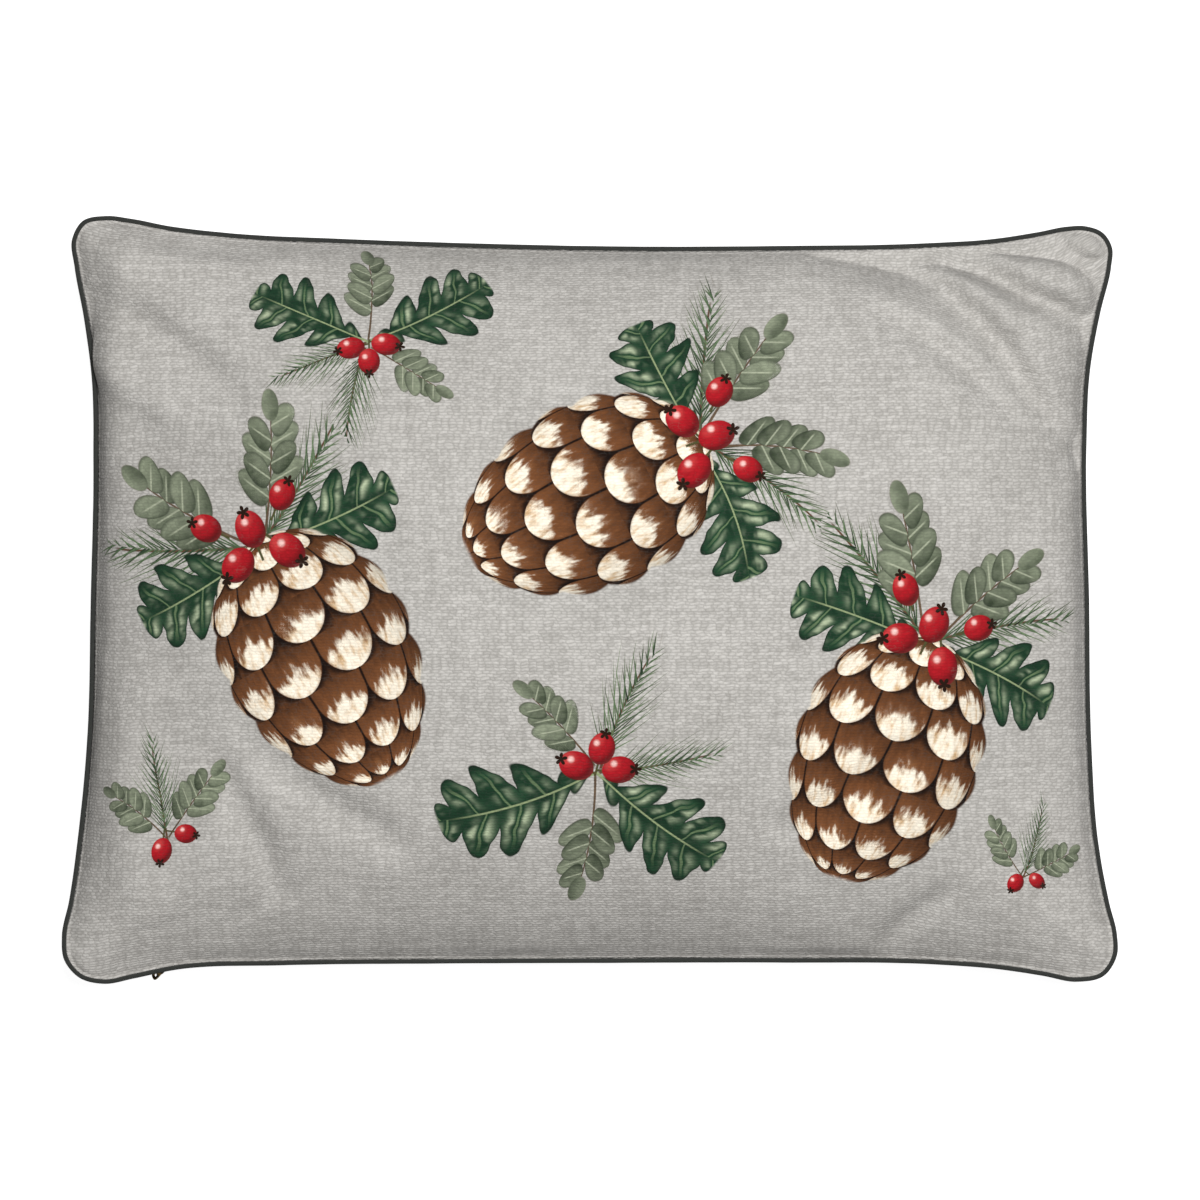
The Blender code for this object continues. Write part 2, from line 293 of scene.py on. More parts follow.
coarse_u = towards_ends(COARSE[0], 0.3)
coarse_v = towards_ends(COARSE[1], 0.3)
front_coarse, back_coarse = settle("settling_cover", coarse_u, coarse_v)
print("settled", round(front_coarse[..., 2].max(), 4), "to", round(back_coarse[..., 2].min(), 4))

# %% [markdown]
# ## Refine the settled cloth
#
# The simulation ran on a coarse grid to stay quick. A finer one is needed for creases and
# for a clean outline. A Subdivision Surface would refine it evenly, but the cloth needs its
# points where it bends, near the seam, so the coarse grid is resampled at chosen places with
# smooth cubics. Resampling a grid is a matrix product on each side: rows, then columns.

# %% Resample the coarse grids
FINE = (248, 180)
FRONT_CROWN = pad_high.z
GATHER = 0.76               # how much closer together the points are at the seam


def cubic_weights(fine, coarse):
    """Matrix that turns samples at the coarse places into samples at the fine ones. Each row
    holds the four Catmull-Rom shares of the two samples on each side."""
    place = np.clip(np.interp(fine, coarse, np.arange(len(coarse))), 0, len(coarse) - 1.000001)
    left = place.astype(int)
    s = place - left
    shares = ((2 * s**2 - s - s**3) / 2, (2 - 5 * s**2 + 3 * s**3) / 2,
              (s + 4 * s**2 - 3 * s**3) / 2, (s**3 - s**2) / 2)
    weights = np.zeros((len(fine), len(coarse) + 2))
    for shift, share in enumerate(shares):
        weights[np.arange(len(fine)), left + shift] = share
    return weights


def with_ends(samples):
    """Adds one sample in line with the last two at both ends of the first axis."""
    return np.concatenate([2 * samples[:1] - samples[1:2], samples, 2 * samples[-1:] - samples[-2:-1]])


def resample(coarse):
    """A coarse grid of points at the fine places, with its edge exactly on the seam."""
    rows, columns = cubic_weights(fine_v, coarse_v), cubic_weights(fine_u, coarse_u)
    tall = np.einsum("ij,jkc->ikc", rows, with_ends(coarse))
    fine = np.einsum("ij,kjc->kic", columns, with_ends(tall.swapaxes(0, 1)).swapaxes(0, 1))
    error = fine - seam_surface
    return fine - blend_edges(error[0], error[:, -1], error[-1], error[:, 0], fine_u, fine_v)


def edge_fullness(panel):
    """Share added to the height beside the seam, fading as exp(-distance / reach). The short
    sides are packed fuller than cloth alone would be, and the lower side flatter."""
    x, y = panel[..., 0], panel[..., 1]
    dx = np.minimum(x - x[:, :1], x[:, -1:] - x)
    return 0.45 * np.exp(-dx / (16 * MM)) - 0.40 * np.exp((y[:1] - y) / (26 * MM))


fine_u, fine_v = towards_ends(FINE[0], GATHER), towards_ends(FINE[1], GATHER)
seam_surface = span_surface(seam_sides, fine_u, fine_v)
front, back = resample(front_coarse), resample(back_coarse)
for panel, depth in ((front, FRONT_CROWN - SEAM_HEIGHT), (back, 1.06 * SEAM_HEIGHT)):
    rise = panel[..., 2] - seam_surface[..., 2]
    panel[..., 2] = seam_surface[..., 2] + rise * depth / np.abs(rise).max()
front[..., 2] += (front[..., 2] - seam_surface[..., 2]) * edge_fullness(front)
print("grid", front.shape[:2], "points apart", round(LENGTH / FINE[0] * (1 - GATHER) * 1000, 2), "mm at the seam")

# %% [markdown]
# ## Pinch, crease and crumple
#
# Real filled cloth is never an even dome. The seam holds a narrow shelf of cloth flat beside
# the piping, slack cloth near the corners gathers into a few long folds, and the filling is
# a little lumpy. Sculpting by hand could do all of it, but then nothing could be changed
# later, so each is a height function added along the cloth's own normals. A fold is given by
# its route in millimetres, then its width, depth and lean.

# %% Heights added to the panels
SHELF = 1.0 * MM            # how far the cloth lies flat before it turns up
OVERHANG = 0.1 * MM         # how far the front swells over the piping at the lower edge
FOLDS = [
    # upper right corner, from the longest fold outwards
    ([(112, 184), (140, 181), (163, 176), (179, 169), (190, 160), (202, 149), (214, 136), (222, 125), (227, 116),
      (236, 102), (246, 90), (262, 70)], 10.0, 12.0, -0.55),
    ([(150, 188), (180, 182), (200, 178), (214, 171), (229, 161), (245, 153), (257, 146), (276, 136)], 7.2, 11.5, -0.38),
    ([(186, 193), (214, 190), (231, 188), (245, 184), (257, 177), (268, 171), (286, 160)], 6.0, 10.5, -0.33),
    ([(142, 154), (160, 146), (174, 138), (186, 130), (195, 123), (204, 114), (214, 103), (228, 83)], 7.0, 6.8, -0.45),
    # upper left corner
    ([(-256, 184), (-232, 178), (-204, 174), (-170, 173), (-130, 174)], 7.0, -2.8, 0.0),
    ([(-262, 166), (-243, 150), (-225, 139), (-208, 127), (-192, 115), (-172, 98)], 10.5, 6.2, 0.0),
    ([(-270, 138), (-250, 122), (-237, 111), (-223, 101), (-200, 86)], 10.0, -5.8, 0.0),
    ([(-243, 200), (-246, 150), (-245, 100), (-246, 46)], 9.0, -2.6, 0.0),
    # lower corners
    ([(-232, -30), (-238, -85), (-238, -125), (-226, -170)], 16.0, -5.4, 0.0),
    ([(-197, -70), (-186, -97), (-168, -133), (-158, -160)], 10.0, 5.4, 0.0),
    ([(-186, -66), (-156, -90), (-120, -113), (-90, -130)], 10.0, 5.4, 0.0),
    ([(92, -124), (121, -108), (146, -92), (170, -76), (198, -60)], 10.0, 6.4, 0.0),
    ([(150, -184), (162, -170), (176, -158), (194, -146)], 7.0, 3.4, 0.0),
]


def surface_normals(points):
    """Unit normals of a grid of points: across its columns times across its rows."""
    normals = np.cross(np.gradient(points, axis=1), np.gradient(points, axis=0))
    return normals / np.maximum(np.linalg.norm(normals, axis=2), 1e-12)[..., None]


def walk_from_seam(points):
    """Distance over the cloth from the four edges, (a^-3 + b^-3 + c^-3 + d^-3)^(-1/3): close
    to the nearest one's, and smooth where two are as near."""
    across = np.linalg.norm(np.diff(points, axis=1), axis=2).cumsum(axis=1)
    upward = np.linalg.norm(np.diff(points, axis=0), axis=2).cumsum(axis=0)
    across = np.pad(across, ((0, 0), (1, 0)))
    upward = np.pad(upward, ((1, 0), (0, 0)))
    gaps = np.stack([across, across[:, -1:] - across, upward, upward[-1:] - upward])
    return (np.maximum(gaps, 1e-6)**-3.0).sum(axis=0)**(-1 / 3)


def smooth_step(low, high, value):
    """0 up to low, 1 from high on, and 3t^2 - 2t^3 in between."""
    t = np.clip((value - low) / (high - low), 0, 1)
    return t * t * (3 - 2 * t)


def fold_height(x, y, route, width, depth, lean):
    """A groove along a route, or a ridge if the depth is below 0, fading to nothing at both
    ends. Across it the height is -exp(-d^2), with d the distance from the route in widths. A
    lean narrows the flank on the right of the route by that share and widens the other, as
    when slack cloth tips over. A lean below 0 narrows the left one."""
    steps = np.linspace(0, 1, 60)
    line = cubic_weights(steps, np.linspace(0, 1, len(route))) @ with_ends(np.array(route) * MM)
    ahead = np.gradient(line, axis=0)
    ahead /= np.linalg.norm(ahead, axis=1)[:, None]
    gap = np.stack([x, y], axis=-1)[..., None, :] - line
    nearest = (gap**2).sum(axis=-1).argmin(axis=-1)
    gap = np.take_along_axis(gap, nearest[..., None, None], axis=2)[..., 0, :]
    d = (gap[..., 1] * ahead[nearest, 0] - gap[..., 0] * ahead[nearest, 1]) / (width * MM)
    d = d / np.where(d < 0, 1 - lean, 1 + lean)
    return -depth * MM * np.sin(pi * steps[nearest])**0.7 * np.exp(-d * d)


def lumps(x, y, seed, size, height):
    """A lumpy field: the mean of twelve waves in random directions, 0.7 to 1.6 sizes long."""
    random = np.random.default_rng(seed)
    field = np.zeros_like(x)
    for angle, length, start in random.random((12, 3)):
        turn, number = 2 * pi * angle, 2 * pi / (size * (0.7 + 0.9 * length))
        field += np.sin(number * (x * cos(turn) + y * sin(turn)) + 2 * pi * start)
    return height * field / 12


def crumple(panel, seed, folds):
    """Moves a panel along its normals: inwards to leave the shelf, then by its folds and lumps,
    but never so far in that it would come through the other panel."""
    x, y = panel[..., 0], panel[..., 1]
    normals = surface_normals(panel)
    level = blend_edges(panel[0], panel[:, -1], panel[-1], panel[:, 0], fine_u, fine_v)
    room = 0.8 * np.abs(panel - level)[..., 2] / np.maximum(np.abs(normals[..., 2]), 0.05)
    walked = walk_from_seam(panel)
    free = smooth_step(0, 12 * MM, walked)
    height = -SHELF * smooth_step(0, 1.3 * MM, walked) * (1 - smooth_step(3 * MM, 30 * MM, walked))
    for route, width, depth, lean in folds:
        height += smooth_step(0, 5 * MM, walked) * fold_height(x, y, route, width, depth, lean)
    height += free * lumps(x, y, seed, 90 * MM, 1.6 * MM) + free * lumps(x, y, seed + 1, 34 * MM, 0.35 * MM)
    pucker = lumps(x, y, seed + 2, 13 * MM, 0.35 * MM)
    height += pucker * smooth_step(0, 3 * MM, walked) * (1 - smooth_step(8 * MM, 22 * MM, walked))
    return panel + np.maximum(height, -room)[..., None] * normals, walked


def relax_corners(panel, rounds=90, reach=26 * MM):
    """Evens out the skewed cells at the rounded corners: each inner point moves half way to
    the mean of its four neighbours, less and less with distance from the nearest corner."""
    tips = panel[[0, 0, -1, -1], [0, -1, 0, -1]]
    away = np.linalg.norm(panel[..., None, :] - tips, axis=3).min(axis=2)[1:-1, 1:-1, None]
    share = 0.5 * np.exp(-(away / reach)**2)
    for _ in range(rounds):
        mean = (panel[:-2, 1:-1] + panel[2:, 1:-1] + panel[1:-1, :-2] + panel[1:-1, 2:]) / 4
        panel[1:-1, 1:-1] += share * (mean - panel[1:-1, 1:-1])
    return panel


plain_front = relax_corners(front)
front, front_walked = crumple(plain_front, 11, FOLDS)
swell = smooth_step(-140 * MM, -40 * MM, front[..., 0]) * (1 - smooth_step(110 * MM, 190 * MM, front[..., 0]))
swell = swell * (front[..., 1] < 0) * smooth_step(0, 2.5 * MM, front_walked) * np.exp(-front_walked / (9 * MM))
front = front + (OVERHANG * swell)[..., None] * surface_normals(plain_front)
turned_back = relax_corners(back)[:, ::-1]
back, back_walked = crumple(turned_back, 31, [])
back, back_walked = back[:, ::-1], back_walked[:, ::-1]
print("front height", round(front[..., 2].max(), 4), "crown", round(FRONT_CROWN, 4))

# %% [markdown]
# ## A bed for the zip
#
# The zip lies on the back panel, just under the lower edge. The cloth there is folded under,
# laid over the tape and topstitched, so that only the teeth and a little tape show. The
# packed joints say where the zip runs. In its own axes (along, up towards the piping, and
# out of the cloth) the bed is a plain cross section, which the back panel is pressed to.

# %% Press the back panel to the zip and to the floor
ZIP_TILT = radians(50)
SLIDER_AT_REST = 0.8 * MM
HINGE_OUT = 4.125 * MM
# cross section of the bed, in mm: how far up, how far out
ZIP_BED = [(-7.6, -0.1), (-6.9, 0.75), (-6.0, 0.85), (-5.0, 0.6), (-3.1, 0.55), (-2.9, -0.4),
           (2.4, -0.4), (2.6, 0.25), (3.2, 0.0), (4.2, -4.3)]
FLOOR_CONTACT = 3 * MM

joints = {joint["name"]: joint for joint in frame["joints"]}
zip_along = np.array(joints["zip_slide"]["axis"])
zip_out = np.array([0, -sin(ZIP_TILT), -cos(ZIP_TILT)])
zip_out -= zip_out @ zip_along * zip_along
zip_out /= np.linalg.norm(zip_out)
zip_axes = np.stack([zip_along, np.cross(zip_out, zip_along), zip_out])
zip_start = np.array(joints["pull_swing"]["pos_m"]) - (SLIDER_AT_REST, 0, HINGE_OUT) @ zip_axes
ZIP_LENGTH = float((np.array(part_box("zip_end_stop")[1]) - zip_start) @ zip_along)


def to_zip(points):
    """Places in the zip's axes: along it, up and out."""
    return (points - zip_start) @ zip_axes.T


def from_zip(places):
    """Points in the object's frame from places in the zip's axes."""
    return places @ zip_axes + zip_start


def press_bed(panel):
    """Moves the panel out or in to the bed's cross section. Past both ends of the zip the
    cloth closes over the tape and then runs back into the free panel."""
    places = to_zip(panel)
    along, up, out = places[..., 0], places[..., 1], places[..., 2]
    bed_up, bed_out = np.array(ZIP_BED).T * MM
    bed = np.interp(up, bed_up, bed_out)
    open_part = smooth_step(-3.5 * MM, -2 * MM, along) * (1 - smooth_step(1, 2.5, (along - ZIP_LENGTH) / MM))
    closed = np.where((up > bed_up[2]) & (up < bed_up[6]), 0.6 * MM, bed)
    bed = closed + open_part * (bed - closed)
    near = smooth_step(-26 * MM, bed_up[0], up) * smooth_step(-22 * MM, -9 * MM, along)
    near = near * (1 - smooth_step(9, 22, (along - ZIP_LENGTH) / MM)) * (up < bed_up[-1])
    places[..., 2] = out + near * (bed - out)
    return from_zip(places)


def stand(panel):
    """Flattens what would sink below the floor, with a soft change from free to resting."""
    z = panel[..., 2]
    resting = (z + FLOOR_CONTACT)**2 / (4 * FLOOR_CONTACT)
    panel[..., 2] = np.where(z > FLOOR_CONTACT, z, np.where(z < -FLOOR_CONTACT, 0, resting))
    return panel


back = stand(press_bed(back))
print("zip", round(ZIP_LENGTH, 4), "m long from", zip_start.round(4).tolist())

# %% [markdown]
# ## The cover as one mesh
#
# Front and back are joined along the seam into one closed skin. Besides its shape it carries
# the unrolled cloth with it, as an attribute on the face corners: x and y are how far that
# corner lies from the middle of its panel, measured over the cloth along the threads, and z
# is 1 on the front and 0 on the back. Weave and print read it, so they turn with every fold
# and never stretch. A UV map would hold x and y as well, but not z.

# %% Make the cover
def set_corner_vectors(mesh, name, values):
    """Stores one vector for each face corner under an attribute name."""
    attribute = mesh.attributes.new(name, "FLOAT_VECTOR", "CORNER")
    attribute.data.foreach_set("vector", np.ascontiguousarray(values, np.float32).ravel())


def unroll(panel):
    """x and y of the unrolled cloth: lengths along each row and column from its middle."""
    places = np.zeros(panel.shape)
    for axis, k in ((1, 0), (0, 1)):
        steps = np.linalg.norm(np.diff(panel, axis=axis), axis=2).cumsum(axis=axis)
        lengths = np.concatenate([0 * steps.take([0], axis), steps], axis=axis)
        places[..., k] = lengths - lengths.take([lengths.shape[axis] // 2], axis)
    return places


cover_points, cover_faces, front_index, back_index = two_panels(front, back)
cover = mesh_object("printed_cover", cover_points, cover_faces)
front_flat, back_flat = unroll(front), unroll(back)
front_count = FINE[0] * FINE[1]
flat_index = np.arange(front_index.size).reshape(front_index.shape)
panel_corners = np.concatenate([front_flat.reshape(-1, 3)[grid_faces(flat_index)] + (0, 0, 1),
                                back_flat.reshape(-1, 3)[grid_faces(flat_index, turned=True)]])
set_corner_vectors(cover.data, "panel", panel_corners)
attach(cover, "cushion")
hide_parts("filled_cover")
reach = np.abs(front_flat).max(axis=(0, 1))
print("cover", len(cover_faces) * 2, "triangles; front unrolls to", (2 * reach[:2]).round(3).tolist())

# %% [markdown]
# ## The piping
#
# Piping is a thin cord wrapped in a strip of cloth cut on the bias, so its threads run at a
# slant. A curve with a bevel would give the same tube, but carrying a ring of points along
# the seam line also gives each corner its place along and around the cord, which
# the slanting weave needs.

# %% Carry a ring round the seam
PIPING_SIDES = 12
PIPING_STEP = 1.3 * MM


def even_loop(line, step):
    """A closed line resampled at even distances."""
    closed = np.concatenate([line, line[:1]])
    length = np.linalg.norm(np.diff(closed, axis=0), axis=1).sum()
    count = round(length / step)
    return point_at(closed, np.arange(count) / count), length


def closed_tube(line, radius, sides):
    """Tube round a closed level-ish line: centre + r (outwards cos a + up sin a)."""
    ahead = np.roll(line, -1, axis=0) - np.roll(line, 1, axis=0)
    ahead /= np.linalg.norm(ahead, axis=1)[:, None]
    outwards = np.cross(ahead, (0, 0, 1))
    outwards /= np.linalg.norm(outwards, axis=1)[:, None]
    up = np.cross(outwards, ahead)
    angle = 2 * pi * np.arange(sides) / sides
    ring = np.cos(angle)[None, :, None] * outwards[:, None] + np.sin(angle)[None, :, None] * up[:, None]
    points = line[:, None] + radius[:, None, None] * ring
    index = np.arange(len(line) * sides).reshape(len(line), sides)
    index = np.pad(index, ((0, 1), (0, 1)), mode="wrap")
    return points.reshape(-1, 3), grid_faces(index, turned=True), angle


piping_line, piping_length = even_loop(seam_line(PIPING_RADIUS), PIPING_STEP)
walked = np.arange(len(piping_line)) / len(piping_line)
waver = sum(np.sin(2 * pi * number * walked + number) for number in (37, 61, 97)) / 3
piping_points, piping_faces, ring_angle = closed_tube(piping_line, PIPING_RADIUS * (1 + 0.025 * waver), PIPING_SIDES)
piping = mesh_object("piping_cord", piping_points, piping_faces)
ends = np.arange(len(piping_line) + 1) / len(piping_line) * piping_length
rounds = np.arange(PIPING_SIDES + 1) / PIPING_SIDES * 2 * pi * PIPING_RADIUS
cord_places = np.stack(np.meshgrid(ends, rounds, indexing="ij") + [np.zeros((len(ends), len(rounds)))], axis=-1)
cord_corners = cord_places.reshape(-1, 3)[grid_faces(np.arange(len(ends) * len(rounds)).reshape(len(ends), -1), turned=True)]
set_corner_vectors(piping.data, "cord", cord_corners)
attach(piping, "cushion")
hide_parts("piping")
print("piping", round(piping_length, 3), "m round the seam,", len(piping_faces) * 2, "triangles")


# %% [markdown]
# ## Wiring materials as arithmetic
#
# Weave, leaves and berries are all formulas of a place on the cloth, and a formula in shader
# nodes is a long chain of Math nodes. Placing each by hand would bury the formula, so a
# small class stands for "what comes out of this node": adding or multiplying two of them
# adds the Math node and links it. Anything that several materials or motifs use is a node
# group with named sockets, which shows in Blender as one tidy box.

# %% Wires
class Wire:
    """What a socket gives out. Arithmetic on wires adds Math nodes to their tree."""

    def __init__(self, socket):
        self.socket = socket
        self.tree = socket.id_data

    def math(self, operation, *others):
        """This wire and the others through a Math node."""
        return math_node(self.tree, operation, self, *others)

    def __add__(self, other): return self.math("ADD", other)
    def __radd__(self, other): return self.math("ADD", other)
    def __sub__(self, other): return self.math("SUBTRACT", other)
    def __rsub__(self, other): return math_node(self.tree, "SUBTRACT", other, self)
    def __mul__(self, other): return self.math("MULTIPLY", other)
    def __rmul__(self, other): return self.math("MULTIPLY", other)
    def __truediv__(self, other): return self.math("DIVIDE", other)
    def __pow__(self, other): return self.math("POWER", other)
    def __abs__(self): return self.math("ABSOLUTE")
    def sine(self): return self.math("SINE")
    def floor(self): return self.math("FLOOR")
    def part(self): return self.math("FRACT")
    def least(self, other): return self.math("MINIMUM", other)
    def most(self, other): return self.math("MAXIMUM", other)
    def wave(self): return abs((self * pi).sine())

    def ramp(self, low, high):
        """0 up to low, 1 from high on, smooth in between."""
        node = self.tree.nodes.new("ShaderNodeMapRange")
        node.interpolation_type = "SMOOTHSTEP"
        feed(node.inputs["Value"], self)
        feed(node.inputs["From Min"], low)
        feed(node.inputs["From Max"], high)
        return Wire(node.outputs["Result"])

    def bell(self, centre, width):
        """1 at the centre and nothing from one width away on."""
        return 1 - (abs(self - centre) / width).ramp(0, 1)

    def parts(self):
        """The x, y and z of a vector."""
        node = self.tree.nodes.new("ShaderNodeSeparateXYZ")
        feed(node.inputs[0], self)
        return [Wire(output) for output in node.outputs]

    def mix(self, low, high):
        """The colour between two, by this share."""
        node = self.tree.nodes.new("ShaderNodeMix")
        node.data_type = "RGBA"
        feed(node.inputs["Factor"], self)
        feed(node.inputs[6], low)
        feed(node.inputs[7], high)
        return Wire(node.outputs[2])

    def shade(self, amount):
        """This colour times a number."""
        node = self.tree.nodes.new("ShaderNodeVectorMath")
        node.operation = "SCALE"
        feed(node.inputs[0], self)
        feed(node.inputs["Scale"], amount)
        return Wire(node.outputs[0])


def math_node(tree, operation, *values):
    """A Math node's wire, for wires and numbers."""
    node = tree.nodes.new("ShaderNodeMath")
    node.operation = operation
    for socket, value in zip(node.inputs, values):
        feed(socket, value)
    return Wire(node.outputs[0])


def feed(socket, value):
    """Links a wire to a socket, or sets the socket's own value."""
    if isinstance(value, Wire):
        socket.id_data.links.new(value.socket, socket)
    else:
        socket.default_value = value


def paint(code):
    """The linear colour of a hexadecimal sRGB code."""
    shares = np.array([int(code[k:k + 2], 16) for k in (0, 2, 4)]) / 255
    linear = np.where(shares <= 0.04045, shares / 12.92, ((shares + 0.055) / 1.055)**2.4)
    return (*linear.tolist(), 1.0)


def vector(x, y, z=0.0):
    """A vector wire from three numbers or wires."""
    tree = next(value.tree for value in (x, y, z) if isinstance(value, Wire))
    node = tree.nodes.new("ShaderNodeCombineXYZ")
    for socket, value in zip(node.inputs, (x, y, z)):
        feed(socket, value)
    return Wire(node.outputs[0])


def noise(place, scale, detail=2.0, dimensions="2D"):
    """Blender's noise, 0 to 1, at a vector wire. Flat noise takes half the time of solid."""
    node = place.tree.nodes.new("ShaderNodeTexNoise")
    node.noise_dimensions = dimensions
    feed(node.inputs["Vector"], place)
    feed(node.inputs["Scale"], scale)
    feed(node.inputs["Detail"], detail)
    return Wire(node.outputs[0])


def chance(place):
    """A random number, 0 to 1, that is the same all over one whole-number cell."""
    node = place.tree.nodes.new("ShaderNodeTexWhiteNoise")
    feed(node.inputs["Vector"], place)
    return Wire(node.outputs["Value"])


def effect(name, inputs, outputs):
    """A new node group. Returns it, its input wires and a function that sets its outputs."""
    tree = bpy.data.node_groups.new(name, "ShaderNodeTree")
    for title, kind in inputs.items():
        tree.interface.new_socket(title, in_out="INPUT", socket_type=kind)
    for title, kind in outputs.items():
        tree.interface.new_socket(title, in_out="OUTPUT", socket_type=kind)
    source, sink = tree.nodes.new("NodeGroupInput"), tree.nodes.new("NodeGroupOutput")

    def give(*wires):
        for socket, wire in zip(sink.inputs, wires):
            feed(socket, wire)
        print("effect", name, "has", len(tree.nodes), "nodes")
        return tree
    return [Wire(source.outputs[title]) for title in inputs], give


def use(group, tree, *values):
    """Places a node group in a tree and returns its output wires."""
    node = tree.nodes.new("ShaderNodeGroup")
    node.node_tree = group
    for socket, value in zip(node.inputs, values):
        feed(socket, value)
    return [Wire(output) for output in node.outputs]


def attribute(tree, name):
    """A wire with the vector stored on the mesh under a name."""
    node = tree.nodes.new("ShaderNodeAttribute")
    node.attribute_name = name
    return Wire(node.outputs["Vector"])


def material(name, **constants):
    """A new material with a Principled shader. Constants are set on the shader's sockets."""
    made = bpy.data.materials.new(name)
    made.use_nodes = True
    shader = made.node_tree.nodes["Principled BSDF"]
    for title, value in constants.items():
        shader.inputs[title.replace("_", " ")].default_value = value
    return made, made.node_tree, shader.inputs


def bump(tree, height, distance, strength=1.0):
    """A Bump node's normal, for a height from 0 to 1 that stands for a distance."""
    node = tree.nodes.new("ShaderNodeBump")
    feed(node.inputs["Height"], height)
    feed(node.inputs["Distance"], distance)
    feed(node.inputs["Strength"], strength)
    return Wire(node.outputs[0])


FLOAT, VECTOR, COLOUR = "NodeSocketFloat", "NodeSocketVector", "NodeSocketColor"

# %% [markdown]
# ## The weave
#
# The cloth is a plain weave of thick, uneven yarns. From a little way off it reads as rows
# of short dashes, where a cross yarn passes over, each row half a dash out of step with the
# next. An image of the cloth would tile visibly. Here each dash is a cell of a brick grid
# with its own random shade, and slubs (thick stretches of yarn) are noise drawn out along
# the yarns both ways.

# %% Weave group
def weave_group():
    """Dash height is sin(pi t)^0.6 sin(pi s)^0.8 over a cell's own s and t. The yarn's shade
    is the mean of the dash, as painted shade that is darker between the dashes, and of the
    yarn's own tone: its random number and the slubs."""
    (place, dash, row), give = effect(
        "slubby weave", {"Place": VECTOR, "Dash": FLOAT, "Row": FLOAT}, {"Height": FLOAT, "Shade": FLOAT})
    x, y, _ = place.parts()
    wander = noise(place, 240.0, 1.0) - 0.5
    rows = y / row + 0.9 * wander
    number = rows.floor()
    across = x / dash + 0.5 * number + 0.6 * chance(vector(number, 0.0)) + 1.1 * wander
    own = chance(vector(across.floor(), number, 3.0))
    height = (across.part() * pi).sine().most(0.001)**0.6 * (rows.part() * pi).sine().most(0.001)**0.8
    long_slub = noise(vector(x * 24, y * 400), 1.0, 2.0)
    tall_slub = noise(vector(x * 400 + 70, y * 24), 1.0, 2.0)
    fibre = noise(place, 1500.0, 1.0)
    # painted shade: the height term makes the colour darker between the dashes; own, slubs and fibre are the yarn's
    # real tone
    shade = 0.26 * height + 0.18 * own + 0.21 * long_slub + 0.21 * tall_slub + 0.14 * fibre
    return give(height * (0.5 + 0.5 * own) + 0.4 * fibre, shade)


weave = weave_group()


# %% [markdown]
# ## Laying out the print
#
# The front is printed with a winter woodland design: pine cones dipped in snow, oak leaves,
# round-leaved sprays, pine needles and rose hips, tossed at different angles. An image would
# blur close up, so each motif is a formula in a frame of its own, with u from 0 at its base
# to 1 at its tip and v across, in the same unit. Where the copies lie is worked out here:
# every face corner stores its u and v in the frame of the nearest copy. So thirty leaves
# cost no more to draw than one, as long as copies that touch are stored under different
# names.

# %% Where the motifs lie
# Each sprig's motifs: base x and y in mm, direction in degrees, length in mm. A hip has its
# centre and the direction of its crown.
CONE_SPRIG = {
    "cone": [(0, 2, -90, 142)], "needles": [(0, -2, 150, 90), (0, -2, 29, 84)],
    "spray": [(-3, 0, 121, 84), (4, 0, 58, 78)], "oak": [(-5, -3, 180, 72), (6, -3, -6, 72)],
    "hip_1": [(-15, -5, 200, 26), (24, 15, 35, 22), (12, -11, -65, 27), (-21, 20, 130, 23)],
    "hip_2": [(0, 8, 84, 26)],
}
OAK_SPRIG = {
    "oak": [(3, 2, 26, 86), (-3, 2, 150, 80)], "spray": [(0, 3, 88, 74), (2, -4, -38, 62)],
    "needles": [(-2, -2, -106, 72), (-2, 0, 198, 66)],
    "hip_1": [(-12, -3, 190, 24), (11, -2, -15, 25)], "hip_2": [(-1, -13, -95, 23)],
}
SMALL_SPRIG = {
    "spray": [(0, 0, 38, 60), (0, 0, 130, 56)], "needles": [(0, 0, 84, 64)],
    "hip_1": [(-5, -6, -110, 21)], "hip_2": [(12, 0, -25, 19)],
}
# sprig, then its x and y on the unrolled front in mm, its turn in degrees and its scale
SPRIGS = [
    (CONE_SPRIG, -172, 30, 30, 1.0), (CONE_SPRIG, 58, 84, -64, 0.96), (CONE_SPRIG, 176, -18, -20, 0.98),
    (OAK_SPRIG, -114, 136, 6, 0.8), (OAK_SPRIG, 4, -86, 172, 0.96),
    (SMALL_SPRIG, -220, -124, 16, 0.85), (SMALL_SPRIG, 226, -142, -14, 0.66),
]


def placements(kind):
    """Base x and y, turn, length and own number of every copy of a motif, in metres and
    radians. A hip's frame is never turned, since its shading is not, and its own number is
    the direction of its crown as a share of a full turn."""
    found = []
    for sprig, x, y, turn, scale in SPRIGS:
        for base_x, base_y, angle, length in sprig.get(kind, []):
            across, up = cos(radians(turn)), sin(radians(turn))
            place = [x + scale * (base_x * across - base_y * up), y + scale * (base_x * up + base_y * across)]
            own = (len(found) * 0.618 + 0.15) % 1
            angle += turn
            if kind.startswith("hip"):
                place[0] -= scale * length / 2
                own, angle = angle / 360 % 1, 0
            found.append((place[0] * MM, place[1] * MM, radians(angle), length * scale * MM, own))
    return found


